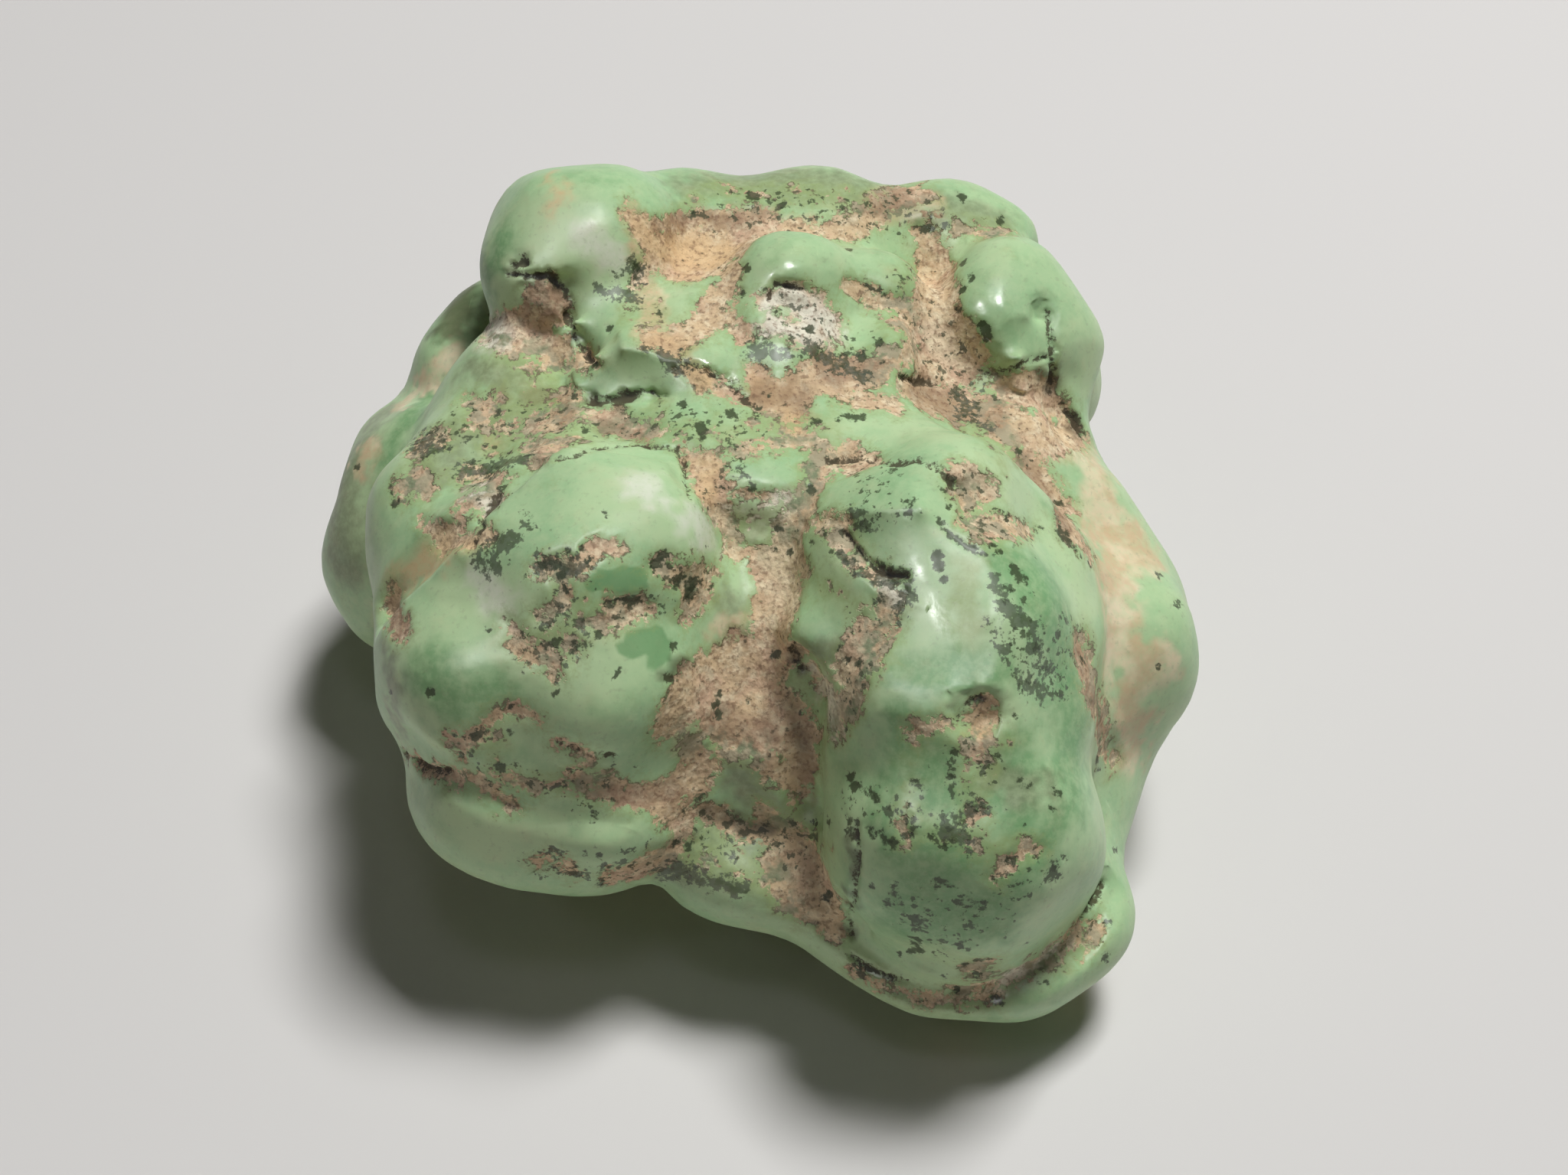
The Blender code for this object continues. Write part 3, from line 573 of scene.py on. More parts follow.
# Places that are more polished.
STROKES["gloss"] = {
    "far_dome": ((780, 320, 30), (805, 335, 26)),
    "middle": ((1020, 338, 22), (1050, 348, 24)),
    "quartz": ((1010, 410, 20), (1030, 440, 20)),
    "finger": ((1280, 396, 26), (1300, 400, 24)),
    "small_dome": ((930, 470, 20), (950, 490, 20)),
    "near_dome": ((840, 640, 30), (860, 660, 26)),
    "block": ((1192, 730, 8), (1206, 756, 10), (1222, 784, 12), (1238, 812, 12), (1250, 840, 9)),
}
# Slate-grey inclusions.
STROKES["slate"] = {
    "behind_slot": ((848, 460, 6), (866, 468, 9), (882, 476, 11), (900, 479, 6)),
    "collar": ((814, 354, 6), (826, 346, 7), (836, 350, 5), (830, 364, 4)),
    "collar_low": ((786, 380, 5), (804, 381, 7), (820, 383, 6), (834, 394, 4)),
    "shoulder": ((632, 614, 8), (650, 610, 13), (668, 604, 10), (682, 601, 6)),
    "shoulder_left": ((602, 622, 7), (614, 614, 8)),
    "shoulder_far": ((540, 582, 7), (554, 574, 9), (567, 582, 10), (560, 566, 6)),
    "star": ((688, 682, 6), (679, 694, 6), (668, 704, 10), (652, 714, 11), (636, 726, 11), (626, 734, 8),
        (648, 742, 9)),
    "cluster_top": ((706, 740, 9), (722, 735, 9), (740, 742, 11), (758, 736, 11)),
    "cluster": ((740, 804, 7), (752, 814, 9), (762, 820, 6)),
    "crevice": ((1146, 744, 9), (1166, 754, 12), (1184, 760, 11), (1186, 776, 9), (1176, 794, 7)),
    "crumbs": ((1098, 724, 6), (1116, 736, 6), (1132, 744, 5)),
    "crumbs_top": ((1112, 672, 7), (1126, 680, 8), (1136, 690, 5)),
    "block_upper": ((1296, 762, 5), (1308, 780, 11), (1318, 798, 11), (1336, 812, 9), (1350, 816, 6)),
    "block_lower": ((1294, 820, 5), (1306, 838, 9), (1313, 856, 9), (1325, 870, 5)),
    "block_right": ((1345, 828, 6), (1352, 848, 8), (1362, 864, 5), (1373, 880, 4)),
    "block_foot": ((1338, 888, 6), (1352, 898, 9), (1374, 908, 6), (1392, 904, 4)),
    "nose": ((1236, 1074, 11), (1246, 1088, 14), (1258, 1100, 8)),
    "nose_right": ((1258, 1062, 7), (1276, 1056, 9), (1294, 1060, 6)),
    "crater_foot": ((984, 458, 9), (1004, 461, 10), (1022, 462, 7)),
    "under_knob": ((1060, 452, 5), (1078, 464, 7), (1104, 478, 6), (1132, 494, 5)),
    "valley": ((1252, 514, 7), (1268, 530, 8), (1254, 544, 5), (1288, 554, 5)),
    "slope": ((868, 1142, 8), (884, 1132, 10), (906, 1144, 7), (936, 1154, 9), (962, 1160, 8)),
}
# Patches of deeper green with a crisp edge.
STROKES["patch"] = {
    "green": ((822, 852, 12), (842, 838, 20), (860, 834, 16), (862, 850, 14), (846, 866, 10)),
    "cluster": ((780, 758, 14), (806, 758, 17), (836, 756, 14)),
}
# Thin dark streaks.
STROKES["dark"] = {
    "edge_streak": ((1380, 690, 1.5), (1402, 714, 2), (1426, 740, 1.5)),
    "patch_streak": ((1224, 674, 2), (1240, 696, 2.5), (1262, 714, 2), (1286, 722, 2)),
}
# Dark clefts, which are also cut into the stone. Their dark is partly their own and partly painted shade.
STROKES["crack"] = {
    "pit_rim": ((665, 357, 3), (690, 360, 5), (716, 359, 5), (734, 370, 5), (742, 388, 3.5), (742, 410, 3.5),
        (748, 434, 4), (756, 450, 4), (768, 464, 3.5), (778, 475, 3)),
    "pit_rim_spur": ((670, 346, 5), (684, 344, 6), (682, 334, 4)),
    "slot": ((774, 524, 5), (796, 521, 7), (820, 517, 7), (836, 512, 5), (850, 512, 3.5)),
    "dome_ledge_right": ((872, 584, 1.5), (886, 588, 2), (894, 606, 2.5), (897, 636, 2), (902, 650, 1.5)),
    "dome_ledge_rear": ((728, 600, 1.5), (754, 594, 2), (776, 586, 1.5), (836, 580, 1.5), (852, 584, 3),
        (872, 584, 1.5)),
    "small_dome_cleft": ((903, 478, 2), (926, 486, 3), (948, 498, 3), (965, 514, 4), (980, 525, 4)),
    "crater_arc": ((1003, 386, 3), (1015, 369, 3), (1035, 375, 2.5), (1060, 380, 2)),
    "finger_cleft": ((1367, 404, 1.5), (1370, 430, 2.5), (1373, 452, 2.5), (1374, 478, 4), (1376, 494, 3),
        (1373, 512, 2)),
    "finger_undercut": ((1290, 486, 2), (1310, 486, 2.5), (1331, 478, 2.5), (1346, 470, 3), (1364, 468, 4)),
    "valley_cleft": ((1176, 490, 4), (1200, 497, 5), (1230, 499, 3)),
    "right_finger_foot": ((1384, 531, 4), (1402, 544, 5.5), (1412, 556, 5.5), (1416, 568, 4)),
    "rim_cleft": ((1078, 600, 3), (1104, 599, 4), (1128, 596, 3), (1150, 602, 3), (1176, 604, 4),
        (1202, 600, 4)),
    "rim_cleft_right": ((1212, 606, 3), (1228, 614, 4), (1240, 624, 5), (1248, 636, 4)),
    "block_crevice": ((1104, 693, 3), (1116, 712, 3), (1128, 727, 3.5), (1142, 740, 4), (1160, 750, 4.5),
        (1184, 752, 3.5)),
    "valley_cleft_front": ((1034, 838, 3), (1034, 852, 4), (1039, 864, 4), (1046, 874, 3)),
    "nose_left_cleft": ((1116, 1082, 2.5), (1120, 1110, 3), (1119, 1140, 3), (1116, 1170, 2.5),
        (1110, 1196, 2.5), (1114, 1222, 2.5)),
    "nose_pit_brow": ((1254, 936, 2.5), (1258, 925, 4), (1268, 915, 4), (1281, 910, 3)),
    "ledge_cleft_left": ((1108, 1246, 2.5), (1130, 1263, 3), (1158, 1275, 2.5), (1186, 1282, 2)),
    "ledge_cleft_right": ((1440, 1155, 4), (1430, 1176, 3), (1412, 1200, 3)),
    "vein_cleft": ((524, 980, 2), (545, 998, 3), (563, 1007, 5), (586, 1008, 5)),
    "vein_cleft_right": ((725, 969, 2.5), (740, 976, 3), (752, 979, 3)),
    "vein_cleft_thread": ((775, 984, 2), (790, 986, 2.5), (808, 988, 2)),
    "crease_cleft": ((652, 642, 3), (640, 660, 4.5), (631, 678, 5), (624, 694, 3), (614, 716, 2)),
}

# Dark spots, each standing alone: place: (x, y, radius), ... in pixels.
SPOTS = {
    "far_dome": ((795, 430, 4), (822, 366, 5), (830, 349, 5), (860, 410, 4), (905, 280, 4)),
    "far_ridge": ((985, 256, 7), (1020, 269, 5), (1210, 298, 7), (1236, 295, 5), (1258, 257, 6),
        (1307, 287, 4)),
    "middle": ((975, 350, 5), (971, 385, 4), (1135, 376, 5), (1150, 381, 4), (1110, 326, 4), (1148, 447, 4),
        (1125, 466, 5), (1060, 428, 5)),
    "far_right": ((1258, 343, 4), (1268, 362, 4), (1257, 378, 5), (1250, 404, 4), (1285, 428, 6),
        (1288, 441, 5)),
    "slot_front": ((890, 528, 6), (955, 540, 6), (970, 546, 4), (914, 556, 7), (918, 570, 5), (990, 529, 4),
        (1005, 514, 3), (1065, 550, 5), (1110, 545, 4), (1128, 545, 4), (1095, 546, 3)),
    "shoulder": ((510, 640, 4), (514, 657, 4), (466, 610, 4), (635, 517, 4), (648, 538, 3), (677, 523, 3),
        (749, 514, 5), (763, 561, 3)),
    "near_dome_top": ((690, 669, 2.5), (790, 671, 3), (757, 646, 2.5), (925, 712, 2), (637, 823, 2.5),
        (681, 877, 3), (810, 877, 3), (801, 886, 2.5), (725, 905, 4), (562, 905, 5), (510, 905, 2.5)),
    "cluster_a": ((706, 738, 5), (724, 736, 5), (742, 719, 4), (758, 716, 4), (766, 730, 3), (732, 753, 4),
        (738, 772, 3), (790, 788, 3), (796, 789, 6), (818, 786, 5), (832, 785, 5), (700, 803, 4),
        (667, 818, 3), (672, 831, 3), (710, 841, 4), (728, 840, 6), (750, 846, 5), (756, 857, 4),
        (750, 863, 3), (783, 829, 5), (770, 840, 2.5), (730, 887, 5), (690, 868, 3)),
    "cluster_b": ((855, 735, 6), (866, 725, 4), (876, 741, 6), (886, 760, 7), (900, 750, 7), (912, 762, 7),
        (904, 776, 6), (926, 746, 4), (930, 766, 4), (880, 846, 5), (872, 886, 6)),
    "dome_side": ((966, 610, 4), (970, 621, 4), (982, 635, 6), (955, 624, 3), (941, 636, 4), (1058, 638, 5),
        (1016, 690, 4), (1014, 716, 3), (1028, 720, 3.5), (1060, 710, 4), (996, 710, 3)),
    "valley": ((940, 907, 4), (935, 922, 4), (938, 936, 4), (915, 920, 3), (977, 917, 3), (915, 1043, 4),
        (1012, 856, 5), (1118, 866, 5), (1104, 862, 3), (1102, 908, 3), (1105, 952, 3), (1175, 812, 5),
        (1145, 787, 6), (1066, 930, 3)),
    "block": ((1223, 727, 7), (1225, 739, 6), (1232, 757, 5), (1221, 753, 2), (1325, 742, 6), (1332, 750, 7),
        (1338, 760, 5), (1167, 614, 4), (1178, 620, 3), (1185, 670, 4), (1182, 656, 2), (1195, 652, 2),
        (1090, 745, 2), (1365, 830, 3), (1382, 828, 3), (1386, 805, 3), (1396, 812, 3), (1418, 862, 5),
        (1355, 692, 5), (1318, 674, 4), (1240, 662, 4), (1285, 805, 3)),
    "block_strokes": ((1226, 680, 2), (1232, 690, 2.5), (1240, 697, 2), (1262, 716, 2), (1276, 720, 2.5),
        (1294, 712, 2.5), (1306, 720, 2.5)),
    "nose": ((1110, 1015, 5), (1117, 1028, 6), (1132, 1033, 4), (1140, 1040, 4), (1146, 1046, 3),
        (1164, 1056, 2.5), (1172, 1062, 3), (1191, 1021, 3), (1200, 1027, 2), (1203, 1060, 2),
        (1335, 1020, 4), (1345, 1028, 3), (1378, 1032, 4), (1384, 1036, 3), (1375, 1055, 3.5), (1300, 985, 5),
        (1308, 991, 3), (1247, 984, 3), (1243, 1016, 4), (1240, 1005, 2.5), (1324, 934, 3)),
    "nose_left": ((1108, 1072, 4), (1119, 1076, 4), (1108, 1085, 4), (1115, 1093, 5), (1122, 1099, 4),
        (1135, 1085, 5), (1140, 1094, 4), (1151, 1091, 4), (1155, 1099, 4), (1166, 1102, 4), (1192, 1072, 3),
        (1178, 1090, 3), (1215, 1093, 3), (1188, 1092, 2.5)),
    "nose_low": ((1218, 1156, 5), (1232, 1152, 6), (1242, 1156, 4), (1260, 1168, 4), (1242, 1177, 2),
        (1268, 1181, 4), (1285, 1178, 4), (1170, 1158, 4), (1168, 1167, 4), (1160, 1180, 4), (1176, 1182, 4),
        (1190, 1200, 3), (1202, 1199, 4), (1212, 1194, 6), (1206, 1208, 4), (1225, 1205, 2.5),
        (1195, 1216, 2.5), (1195, 1230, 7), (1199, 1241, 7), (1188, 1243, 4), (1175, 1247, 2.5),
        (1252, 1237, 3.5), (1341, 1233, 3), (1138, 1157, 2.5), (1143, 1166, 2)),
    "nose_right": ((1376, 1139, 6), (1380, 1147, 5), (1369, 1148, 4), (1393, 1122, 2.5), (1322, 1125, 4),
        (1297, 1148, 4), (1355, 1123, 2.5), (1310, 1057, 2.5), (1340, 1081, 2)),
    "ledge": ((1260, 1262, 5), (1276, 1257, 4), (1290, 1255, 3.5), (1276, 1273, 4), (1236, 1275, 3),
        (1250, 1295, 3), (1302, 1304, 5), (1308, 1312, 4), (1357, 1281, 3.5), (1367, 1282, 3.5),
        (1116, 1266, 4), (1123, 1275, 4), (1447, 1206, 4), (1445, 1250, 4), (1456, 1110, 3), (1434, 992, 3),
        (1436, 1004, 2.5)),
    "lower_left": ((594, 961, 4), (620, 965, 6), (628, 959, 5), (602, 988, 4), (666, 925, 3), (667, 955, 4),
        (650, 1000, 4), (655, 1006, 3), (661, 1001, 2.5), (566, 1008, 4), (775, 1071, 4), (781, 1065, 2.5),
        (800, 1048, 3), (836, 1062, 4), (800, 998, 2.5), (832, 998, 2)),
    "foot": ((690, 1112, 2), (720, 1108, 3), (718, 1115, 4), (735, 1113, 2.5), (686, 1132, 3),
        (697, 1132, 2.5), (734, 1140, 5), (745, 1143, 4), (759, 1145, 2.5), (785, 1118, 3), (765, 1115, 2),
        (790, 1130, 3), (786, 1139, 3), (784, 1156, 4)),
    "slope": ((920, 1066, 4), (950, 1078, 5), (975, 1090, 6), (998, 1085, 4), (900, 1106, 6), (884, 1104, 4),
        (1035, 1078, 3), (1064, 1075, 3), (1082, 1072, 3), (1064, 1095, 3), (1078, 1170, 4), (1020, 1104, 4),
        (950, 1105, 4), (955, 1118, 4)),
    "right_lobe": ((1515, 750, 5), (1378, 652, 5), (1388, 656, 4), (1540, 790, 4), (1332, 588, 4),
        (1346, 600, 4), (1512, 870, 5), (1386, 690, 4), (1396, 700, 4)),
}


def linear(colour):
    """A colour given in 0 to 255 display values as linear RGBA."""
    shares = [value / 255 for value in colour]
    return (*[s / 12.92 if s <= 0.04045 else ((s + 0.055) / 1.055) ** 2.4 for s in shares], 1.0)


def smooth_step(low, high, values):
    """0 below low, 1 above high, smooth between."""
    share = np.clip((values - low) / (high - low), 0.0, 1.0)
    return share * share * (3.0 - 2.0 * share)


def read(elements, field, width, kind):
    """A field of a mesh's elements as an array that many columns wide."""
    values = np.empty(len(elements) * width, kind)
    elements.foreach_get(field, values)
    return values.reshape(-1, width)


class Camera:
    """The view the marks are laid through."""

    def __init__(self):
        self.back = np.array([0.0, -math.cos(ELEVATION), math.sin(ELEVATION)])
        self.up = np.array([0.0, math.sin(ELEVATION), math.cos(ELEVATION)])
        self.right = np.array([1.0, 0.0, 0.0])
        self.place = np.array(CAMERA_AIM) + self.back * CAMERA_DISTANCE
        self.focal = LENS / SENSOR * IMAGE_SIZE[0]

    def ray(self, x, y):
        """Direction through a pixel."""
        across = (x - IMAGE_SIZE[0] / 2) / self.focal
        upward = (IMAGE_SIZE[1] / 2 - y) / self.focal
        direction = across * self.right + upward * self.up - self.back
        return direction / np.linalg.norm(direction)

    def pixels_per_mm(self, point):
        return self.focal / float(np.dot(self.place - point, self.back))


class Skin:
    """The stone's fine mesh as arrays: points in mm, edges and triangles."""

    def __init__(self, mesh):
        self.mesh = mesh
        self.points = read(mesh.vertices, "co", 3, float) / MM
        self.edges = read(mesh.edges, "vertices", 2, int)
        self.faces = read(mesh.polygons, "vertices", 3, int)
        self.degree = np.bincount(self.edges.ravel(), minlength=len(self.points))

    def around(self, values):
        """Each vertex's mean over its neighbours."""
        columns = values.reshape(len(self.points), -1)
        total = np.empty_like(columns)
        a, b = self.edges.T
        for k, column in enumerate(columns.T):
            total[:, k] = np.bincount(a, column[b], len(column)) + np.bincount(b, column[a], len(column))
        return (total / self.degree[:, None]).reshape(values.shape)

    def spread(self, values, rounds):
        """Values evened out with their neighbours, again and again."""
        for _ in range(rounds):
            values = self.around(values)
        return values

    def normals(self):
        corners = self.points[self.faces]
        flat = np.cross(corners[:, 1] - corners[:, 0], corners[:, 2] - corners[:, 0])
        found = np.zeros_like(self.points)
        for k in range(3):
            for axis in range(3):
                found[:, axis] += np.bincount(self.faces[:, k], flat[:, axis], len(self.points))
        return found / np.linalg.norm(found, axis=1)[:, None]

    def fair(self):
        """Rounds off the facets without shrinking the stone; the resting flats stay flat."""
        free = (self.points[:, 2] > FLAT_BASE)[:, None]
        for _ in range(FAIRING_ROUNDS):
            for step in FAIRING_STEPS:
                self.points += np.where(free, step * (self.around(self.points) - self.points), 0.0)

    def tree(self):
        return BVHTree.FromPolygons(self.points.tolist(), self.faces.tolist())

    def noise(self, wavelength, shift):
        """Smooth noise from about -1 to 1 at each vertex."""
        places = self.points / wavelength + shift
        return np.array([noise.noise(place) for place in places.tolist()])

    def noises(self, rows):
        """The sum of noises, each given as (weight, wavelength, shift)."""
        return sum(weight * self.noise(wavelength, shift) for weight, wavelength, shift in rows)


def fine_mesh():
    """The CAD stone's mesh, each triangle split into many."""
    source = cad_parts[NODE]
    stone = bpy.data.objects.new("turquoise_stone", source.data.copy())
    bpy.context.scene.collection.objects.link(stone)
    stone.data.materials.clear()
    weld = stone.modifiers.new("weld", "WELD")
    weld.merge_threshold = WELD_DISTANCE * MM
    thinner = stone.modifiers.new("thinner", "DECIMATE")
    thinner.ratio = THINNED_TO
    finer = stone.modifiers.new("finer", "SUBSURF")
    finer.subdivision_type = "SIMPLE"
    finer.levels = FINER_TIMES
    split = stone.modifiers.new("triangles", "TRIANGULATE")
    split.quad_method = "SHORTEST_DIAGONAL"
    graph = bpy.context.evaluated_depsgraph_get()
    stone.data = bpy.data.meshes.new_from_object(stone.evaluated_get(graph))
    stone.modifiers.clear()
    return stone


def stroke_balls(camera, tree, stations, joined):
    """The balls of a stroke, laid on the stone: (x, y, z, radius) in mm."""
    placed = list(stations)
    if joined:
        placed = []
        for (x0, y0, r0), (x1, y1, r1) in zip(stations, stations[1:]):
            gap = max(BALL_GAP, BALL_GAP_SHARE * min(r0, r1))
            count = max(1, math.ceil(math.hypot(x1 - x0, y1 - y0) / gap))
            for i in range(count):
                share = i / count
                placed.append((x0 + share * (x1 - x0), y0 + share * (y1 - y0), r0 + share * (r1 - r0)))
        placed.append(stations[-1])
    balls = []
    for x, y, radius in placed:
        hit = tree.ray_cast(Vector(camera.place), Vector(camera.ray(x, y)))[0]
        if hit is not None:
            balls.append((*hit, radius / camera.pixels_per_mm(np.array(hit))))
    return np.array(balls)


def depth_in(camera, points, balls):
    """Indices of the points near a stroke, and how deep each lies in it, measured mostly across the view."""
    reach = balls[:, 3].max() / ALONG_VIEW + MARGIN
    near = np.all((points > balls[:, :3].min(0) - reach) & (points < balls[:, :3].max(0) + reach), axis=1)
    chosen = np.nonzero(near)[0]
    depth = np.full(len(chosen), -2 * MARGIN)
    for ball in balls:
        sight = ball[:3] - camera.place
        sight /= np.linalg.norm(sight)
        offset = points[chosen] - ball[:3]
        along = offset @ sight
        across = np.einsum("ij,ij->i", offset, offset) - along ** 2
        away = np.sqrt(np.maximum(across, 0.0) + (ALONG_VIEW * along) ** 2)
        np.maximum(depth, ball[3] - away, out=depth)
    return chosen, depth


def soften(skin, camera):
    """Rounds off the named places, fading out at their borders."""
    tree = skin.tree()
    weight = np.zeros(len(skin.points))
    for stations in SOFTENED.values():
        chosen, depth = depth_in(camera, skin.points, stroke_balls(camera, tree, stations, True))
        weight[chosen] = np.maximum(weight[chosen], smooth_step(0.0, SOFTENING_FADE, depth))
    for _ in range(SOFTENING_ROUNDS):
        skin.points += weight[:, None] * (skin.around(skin.points) - skin.points)


def lay_marks(skin, camera, fields):
    """Lays every stroke and spot on the stone's fields."""
    tree = skin.tree()
    wander = skin.noises(EDGE_WANDER)
    marks = [(kind, stations, True) for kind, named in STROKES.items() for stations in named.values()]
    marks += [("dark", stations, False) for stations in SPOTS.values()]
    for kind, stations, joined in marks:
        balls = stroke_balls(camera, tree, stations, joined)
        chosen, depth = depth_in(camera, skin.points, balls)
        size = float(np.median(balls[:, 3]))
        crisp = depth + wander[chosen] * min(1.0, size / FULL_RADIUS) * WANDER_SHARE.get(kind, 1.0)
        if kind == "green":
            fields["matrix"][chosen] = np.minimum(fields["matrix"][chosen], -crisp)
        elif kind in CRISP_GAIN:
            fields[kind][chosen] = np.maximum(fields[kind][chosen], crisp + CRISP_GAIN[kind])
        else:
            fade = STAIN_FADE * size + STAIN_FADE_MORE
            stain = smooth_step(-fade, fade, depth + STAIN_WANDER * wander[chosen])
            fields[kind][chosen] = np.maximum(fields[kind][chosen], stain)


def seen_share(skin, camera):
    """1 where the camera sees the stone, 0 where it doesn't, with a soft border."""
    tree = skin.tree()
    normals = skin.normals()
    toward = camera.place - skin.points
    toward /= np.linalg.norm(toward, axis=1)[:, None]
    facing = np.einsum("ij,ij->i", toward, normals) > LEAST_FACING
    starts = skin.points + normals * SIGHT_LIFT
    seen = np.zeros(len(skin.points))
    for i in np.nonzero(facing)[0]:
        if tree.ray_cast(Vector(starts[i]), Vector(toward[i]))[0] is None:
            seen[i] = 1.0
    return smooth_step(*SEEN_FADE, skin.spread(seen, SEEN_SPREAD))


def hollow_depth(skin):
    """How far each vertex lies below the stone's smoothed surface, in mm."""
    smoothed = skin.spread(skin.points, HOLLOW_ROUNDS)
    return np.einsum("ij,ij->i", smoothed - skin.points, skin.normals())


def stone_fields(skin, camera):
    """Every pattern the stone's material reads, one value for each vertex."""
    seen = seen_share(skin, camera)
    fields = {kind: np.zeros(len(skin.points)) for kind in STROKES if kind != "green"}
    for kind in CRISP_GAIN:
        fields[kind] -= 1.0
    hollows = HOLLOW_WEIGHT * hollow_depth(skin) + skin.noises(HOLLOW_NOISES) - HOLLOW_BAR
    fields["matrix"] = hollows * (1 - seen) - seen
    for kind, noises, bar in UNSEEN_CRISP:
        fields[kind] = (1 - seen) * np.maximum(skin.noises(noises) - bar, -1.0) - seen
    for kind, (weight, wavelength, shift), low, high in UNSEEN_STAINS:
        fields[kind] = (1 - seen) * weight * smooth_step(low, high, skin.noise(wavelength, shift))
    lay_marks(skin, camera, fields)
    return fields


def carve(skin, fields):
    """Sinks the matrix and roughens it, cuts the clefts, and leaves the turquoise smooth."""
    normals = skin.normals()
    matrix = smooth_step(*RECESS_BORDER, fields["matrix"])
    height = matrix * (GRAIN_HEIGHT * skin.noises(GRAIN_NOISES) - RECESS)
    height += (1 - matrix) * skin.noises(LUMP_NOISES)
    height -= CRACK_DEPTH * smooth_step(*CRACK_SLOPE, fields["crack"])
    height -= SPECK_DEPTH * smooth_step(*SPECK_SLOPE, fields["dark"])
    height[skin.points[:, 2] < FLAT_BASE] = 0.0
    skin.points += normals * height[:, None]
    low, high = (np.array(corner) / MM for corner in cad_box)
    skin.points = np.clip(skin.points, low, high)


def write_skin(skin, fields):
    skin.mesh.vertices.foreach_set("co", (skin.points * MM).ravel())
    for name, values in fields.items():
        layer = skin.mesh.attributes.new(name, "FLOAT", "POINT")
        layer.data.foreach_set("value", values.astype(np.float32))
    skin.mesh.polygons.foreach_set("use_smooth", [True] * len(skin.mesh.polygons))
    skin.mesh.update()


class Shader:
    """Short calls for building a node tree."""

    def __init__(self, name):
        self.material = bpy.data.materials.new(name)
        self.material.use_nodes = True
        self.tree = self.material.node_tree
        self.surface = self.tree.nodes["Principled BSDF"]
        place = self.tree.nodes.new("ShaderNodeTexCoord")
        scaled = self.tree.nodes.new("ShaderNodeVectorMath")
        scaled.operation = "SCALE"
        self.fill(scaled, {0: place.outputs["Object"], "Scale": 1 / MM})
        self.place = scaled.outputs[0]

    def fill(self, node, values):
        """Links sockets to a node's inputs and sets constants, making colours linear."""
        for key, value in values.items():
            if isinstance(value, bpy.types.NodeSocket):
                self.tree.links.new(value, node.inputs[key])
            else:
                node.inputs[key].default_value = linear(value) if isinstance(value, tuple) else value

    def math(self, operation, a, b):
        node = self.tree.nodes.new("ShaderNodeMath")
        node.operation = operation
        self.fill(node, {0: a, 1: b})
        return node.outputs[0]

    def plus(self, a, b):
        return self.math("ADD", a, b)

    def minus(self, a, b):
        return self.math("SUBTRACT", a, b)

    def times(self, a, b):
        return self.math("MULTIPLY", a, b)

    def attribute(self, name):
        node = self.tree.nodes.new("ShaderNodeAttribute")
        node.attribute_name = name
        return node.outputs["Fac"]

    def noise(self, wavelength, detail, roughness):
        node = self.tree.nodes.new("ShaderNodeTexNoise")
        values = {"Vector": self.place, "Scale": 1 / wavelength, "Detail": detail, "Roughness": roughness}
        self.fill(node, values)
        return node.outputs["Fac"]

    def crumbs(self, wavelength, height):
        """Noise about zero, height from its lowest to its highest."""
        return self.times(self.minus(self.noise(wavelength, *CRUMB_NOISE), NOISE_MIDDLE), height)

    def cells(self, size):
        node = self.tree.nodes.new("ShaderNodeTexVoronoi")
        self.fill(node, {"Vector": self.place, "Scale": 1 / size})
        return node.outputs["Distance"]

    def step(self, value, low, high, top=1.0):
        """0 where value is under low, top where it is over high."""
        node = self.tree.nodes.new("ShaderNodeMapRange")
        node.interpolation_type = "SMOOTHSTEP"
        self.fill(node, {"Value": value, "From Min": low, "From Max": high, "To Max": top})
        return node.outputs["Result"]

    def mix(self, share, a, b, data_type="RGBA"):
        """Mixes two colours, or two numbers with the data type FLOAT."""
        node = self.tree.nodes.new("ShaderNodeMix")
        node.data_type = data_type
        self.fill(node, {"Factor": share, "A": a, "B": b})
        return node.outputs["Result"]

    def layers(self, colour, rows):
        """Lays tones on a colour where noises pass their steps."""
        for noise_row, step_row, tone in rows:
            colour = self.mix(self.step(self.noise(*noise_row), *step_row), colour, tone)
        return colour

    def stains(self, colour, rows):
        """Tints a colour by fields."""
        for name, top, tone in rows:
            colour = self.mix(self.times(self.attribute(name), top), colour, tone)
        return colour


def turquoise_colour(s):
    """The green skin: mottled, with soft stains; painted highlights make the domes paler, painted light lifts
    some shaded places and painted shade darkens the rear lobe.
    """
    colour = s.stains(s.layers(GREEN, GREEN_LAYERS), GREEN_STAINS)
    tan = s.plus(s.times(s.attribute("tan"), TAN_WEIGHT), s.crumbs(*TAN_CRUMBS))
    colour = s.mix(s.step(tan, *TAN_BORDER), colour, s.layers(TAN_LIGHT, TAN_LAYERS))
    colour = s.layers(colour, GREEN_GRAIN)
    return s.mix(s.step(s.attribute("patch"), *PATCH_BORDER), colour, GREEN_DEEP)


def matrix_colour(s):
    """The tan rock between the green: granular, pinkish to ochre, with brown hollows, and with painted light
    over some places that lie in shade.
    """
    colour = s.stains(s.layers(TAN, MATRIX_LAYERS), MATRIX_STAINS)
    colour = s.layers(colour, MATRIX_HOLLOWS)
    colour = s.mix(s.step(s.cells(CELL_SIZE), *CELL_TONE), colour, RUST_AND_SHADE)
    for noise_row, step_row, name, tone in MATRIX_MOTTLE:
        colour = s.mix(s.times(s.step(s.noise(*noise_row), *step_row), s.attribute(name)), colour, tone)
    return s.layers(colour, MATRIX_SPECKS)


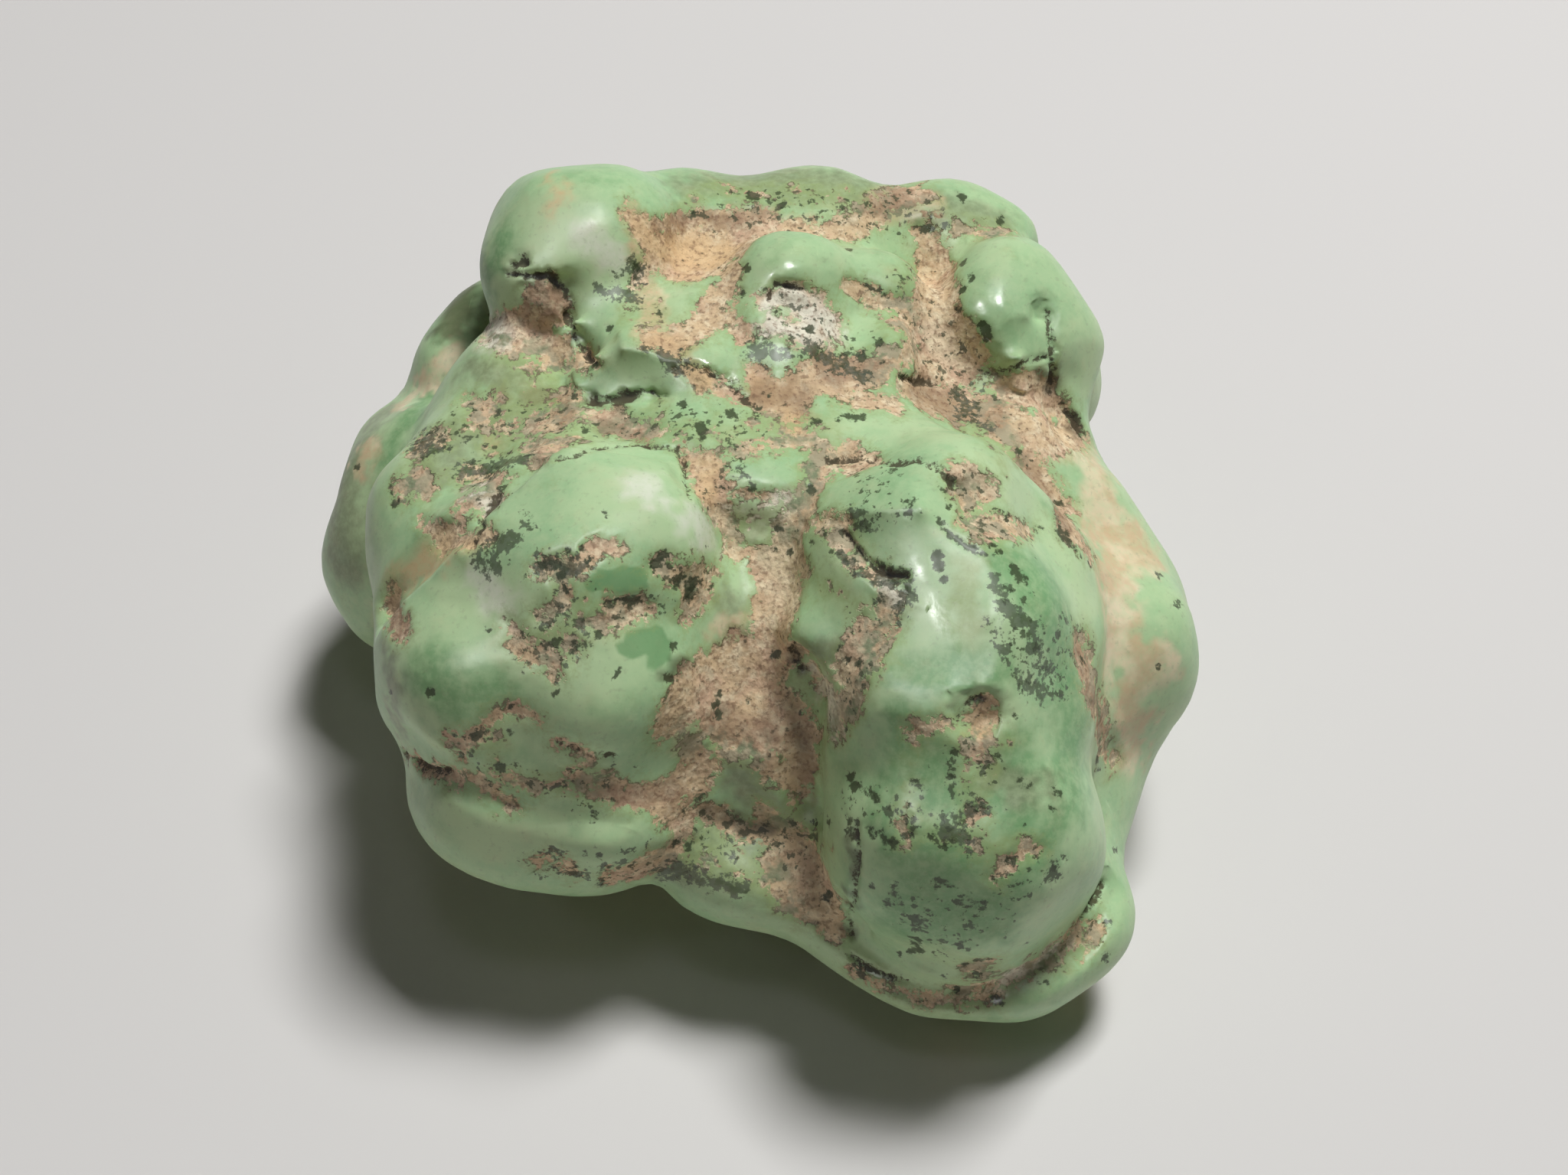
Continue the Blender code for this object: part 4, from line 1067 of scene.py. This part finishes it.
def matrix_edge(s):
    """The matrix field with its crumbled edge, and its own islands where the ground is mottled."""
    flecks, mottle = s.attribute("flecks"), s.attribute("mottle")
    edge = s.attribute("matrix")
    for row in MATRIX_CRUMBS:
        edge = s.plus(edge, s.crumbs(*row))
    edge = s.plus(edge, s.times(flecks, s.crumbs(*FLECKED_CRUMBS)))
    edge = s.plus(edge, s.times(mottle, s.crumbs(*MOTTLED_CRUMBS)))
    large, small = (s.crumbs(*row) for row in ISLAND_CRUMBS)
    islands = s.plus(s.plus(large, small), s.times(s.minus(mottle, ISLAND_BAR), ISLAND_WEIGHT))
    return s.math("MAXIMUM", edge, islands)


def lay_fine_marks(s, colour, matrix):
    """Lays the matrix's dark rim, the flecks, slate, specks, painted shade and clefts, whose dark is partly
    painted shade too; also gives the clefts.
    """
    rim = s.minus(s.step(matrix, *RIM_OUTSIDE), s.step(matrix, *RIM_INSIDE))
    colour = s.mix(s.times(rim, s.step(s.noise(*RIM_NOISE), *RIM_GAPS)), colour, DARK_RIM)
    small = s.crumbs(*SMALL_CRUMBS)
    flecks = s.attribute("flecks")
    fleck = s.step(s.plus(s.noise(*FLECK_NOISE), s.times(flecks, FLECK_HELP)), *FLECK_BORDER)
    colour = s.mix(s.times(fleck, s.step(flecks, *FLECK_GATE)), colour, SPECK)
    slate = s.plus(s.plus(s.attribute("slate"), s.crumbs(*SLATE_CRUMBS)), small)
    colour = s.mix(s.step(slate, *SLATE_BORDER), colour, s.layers(SLATE, SLATE_LAYERS))
    speck = s.plus(s.attribute("dark"), s.crumbs(*SPECK_CRUMBS))
    colour = s.stains(s.mix(s.step(speck, *SPECK_BORDER), colour, SPECK), PAINTED_SHADE_TINTS)
    crack = s.step(s.plus(s.attribute("crack"), small), *CRACK_BORDER)
    return s.mix(crack, colour, CLEFT_DARK_AND_SHADE), crack


def stone_material():
    s = Shader("turquoise_skin")
    matrix = matrix_edge(s)
    in_matrix = s.step(matrix, *MATRIX_BORDER)
    green = s.mix(s.step(matrix, *MATRIX_HALO), turquoise_colour(s), GREEN_YELLOW)
    colour = s.stains(s.mix(in_matrix, green, matrix_colour(s)), STONE_STAINS)
    colour, crack = lay_fine_marks(s, colour, matrix)
    wax = s.plus(s.times(s.noise(*WAX_NOISE), WAX_VARIATION), WAX_ROUGHNESS)
    wax = s.minus(wax, s.times(s.attribute("gloss"), POLISH))
    roughness = s.mix(in_matrix, wax, MATRIX_ROUGHNESS, "FLOAT")
    roughness = s.mix(crack, roughness, CRACK_ROUGHNESS, "FLOAT")
    grains = s.minus(s.noise(*GRAIN_BUMP), s.times(s.cells(CELL_SIZE), GRAIN_CELLS))
    waves = s.times(s.noise(*WAX_BUMP), WAX_BUMP_SHARE)
    height = s.mix(in_matrix, waves, s.minus(grains, NOISE_MIDDLE), "FLOAT")
    bump = s.tree.nodes.new("ShaderNodeBump")
    s.fill(bump, {"Distance": BUMP_DISTANCE * MM, "Strength": BUMP_STRENGTH, "Height": height})
    looks = {"Base Color": colour, "Roughness": roughness, "IOR": STONE_IOR, "Normal": bump.outputs["Normal"]}
    s.fill(s.surface, looks)
    return s.material


def floor_material():
    s = Shader("pale_floor")
    s.fill(s.surface, {"Base Color": FLOOR, "Roughness": FLOOR_ROUGHNESS})
    return s.material


def add_looking(name, data, place, target):
    """An object for a light or camera, at a place and turned to a target."""
    thing = bpy.data.objects.new(name, data)
    bpy.context.scene.collection.objects.link(thing)
    thing.location = Vector(place) * MM
    thing.rotation_mode = "QUATERNION"
    thing.rotation_quaternion = (Vector(place) - Vector(target)).to_track_quat("Z", "Y")
    return thing


def add_light(name, place, target, size, watts, colour, lights_matt, lights_glossy):
    lamp = bpy.data.lights.new(name, "AREA")
    lamp.size = size * MM
    lamp.energy = watts
    lamp.color = colour
    holder = add_looking(name, lamp, place, target)
    holder.visible_camera = False
    holder.visible_diffuse = lights_matt
    holder.visible_glossy = lights_glossy


def add_stage(camera):
    """The floor, the lights, the world and the camera."""
    bpy.ops.mesh.primitive_plane_add(size=FLOOR_WIDTH * MM, location=(0, 0, -FLOOR_DROP * MM))
    floor = bpy.context.object
    floor.name = "floor"
    floor.data.materials.append(floor_material())
    for row in LIGHTS:
        add_light(*row)
    world = bpy.data.worlds.new("room")
    world.use_nodes = True
    room = world.node_tree.nodes["Background"]
    room.inputs["Color"].default_value = (*WARM, 1.0)
    room.inputs["Strength"].default_value = ROOM_STRENGTH
    bpy.context.scene.world = world
    lens = bpy.data.cameras.new("camera")
    lens.lens = LENS
    lens.sensor_width = SENSOR
    lens.clip_start = NEAR_CLIP * MM
    bpy.context.scene.camera = add_looking("camera", lens, camera.place, CAMERA_AIM)
    bpy.context.scene.view_settings.view_transform = "Standard"


def add_stone(camera):
    stone = fine_mesh()
    skin = Skin(stone.data)
    skin.fair()
    soften(skin, camera)
    fields = stone_fields(skin, camera)
    carve(skin, fields)
    write_skin(skin, fields)
    stone.data.materials.append(stone_material())
    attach(stone, "root")
    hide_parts(NODE)


view_camera = Camera()
add_stone(view_camera)
add_stage(view_camera)
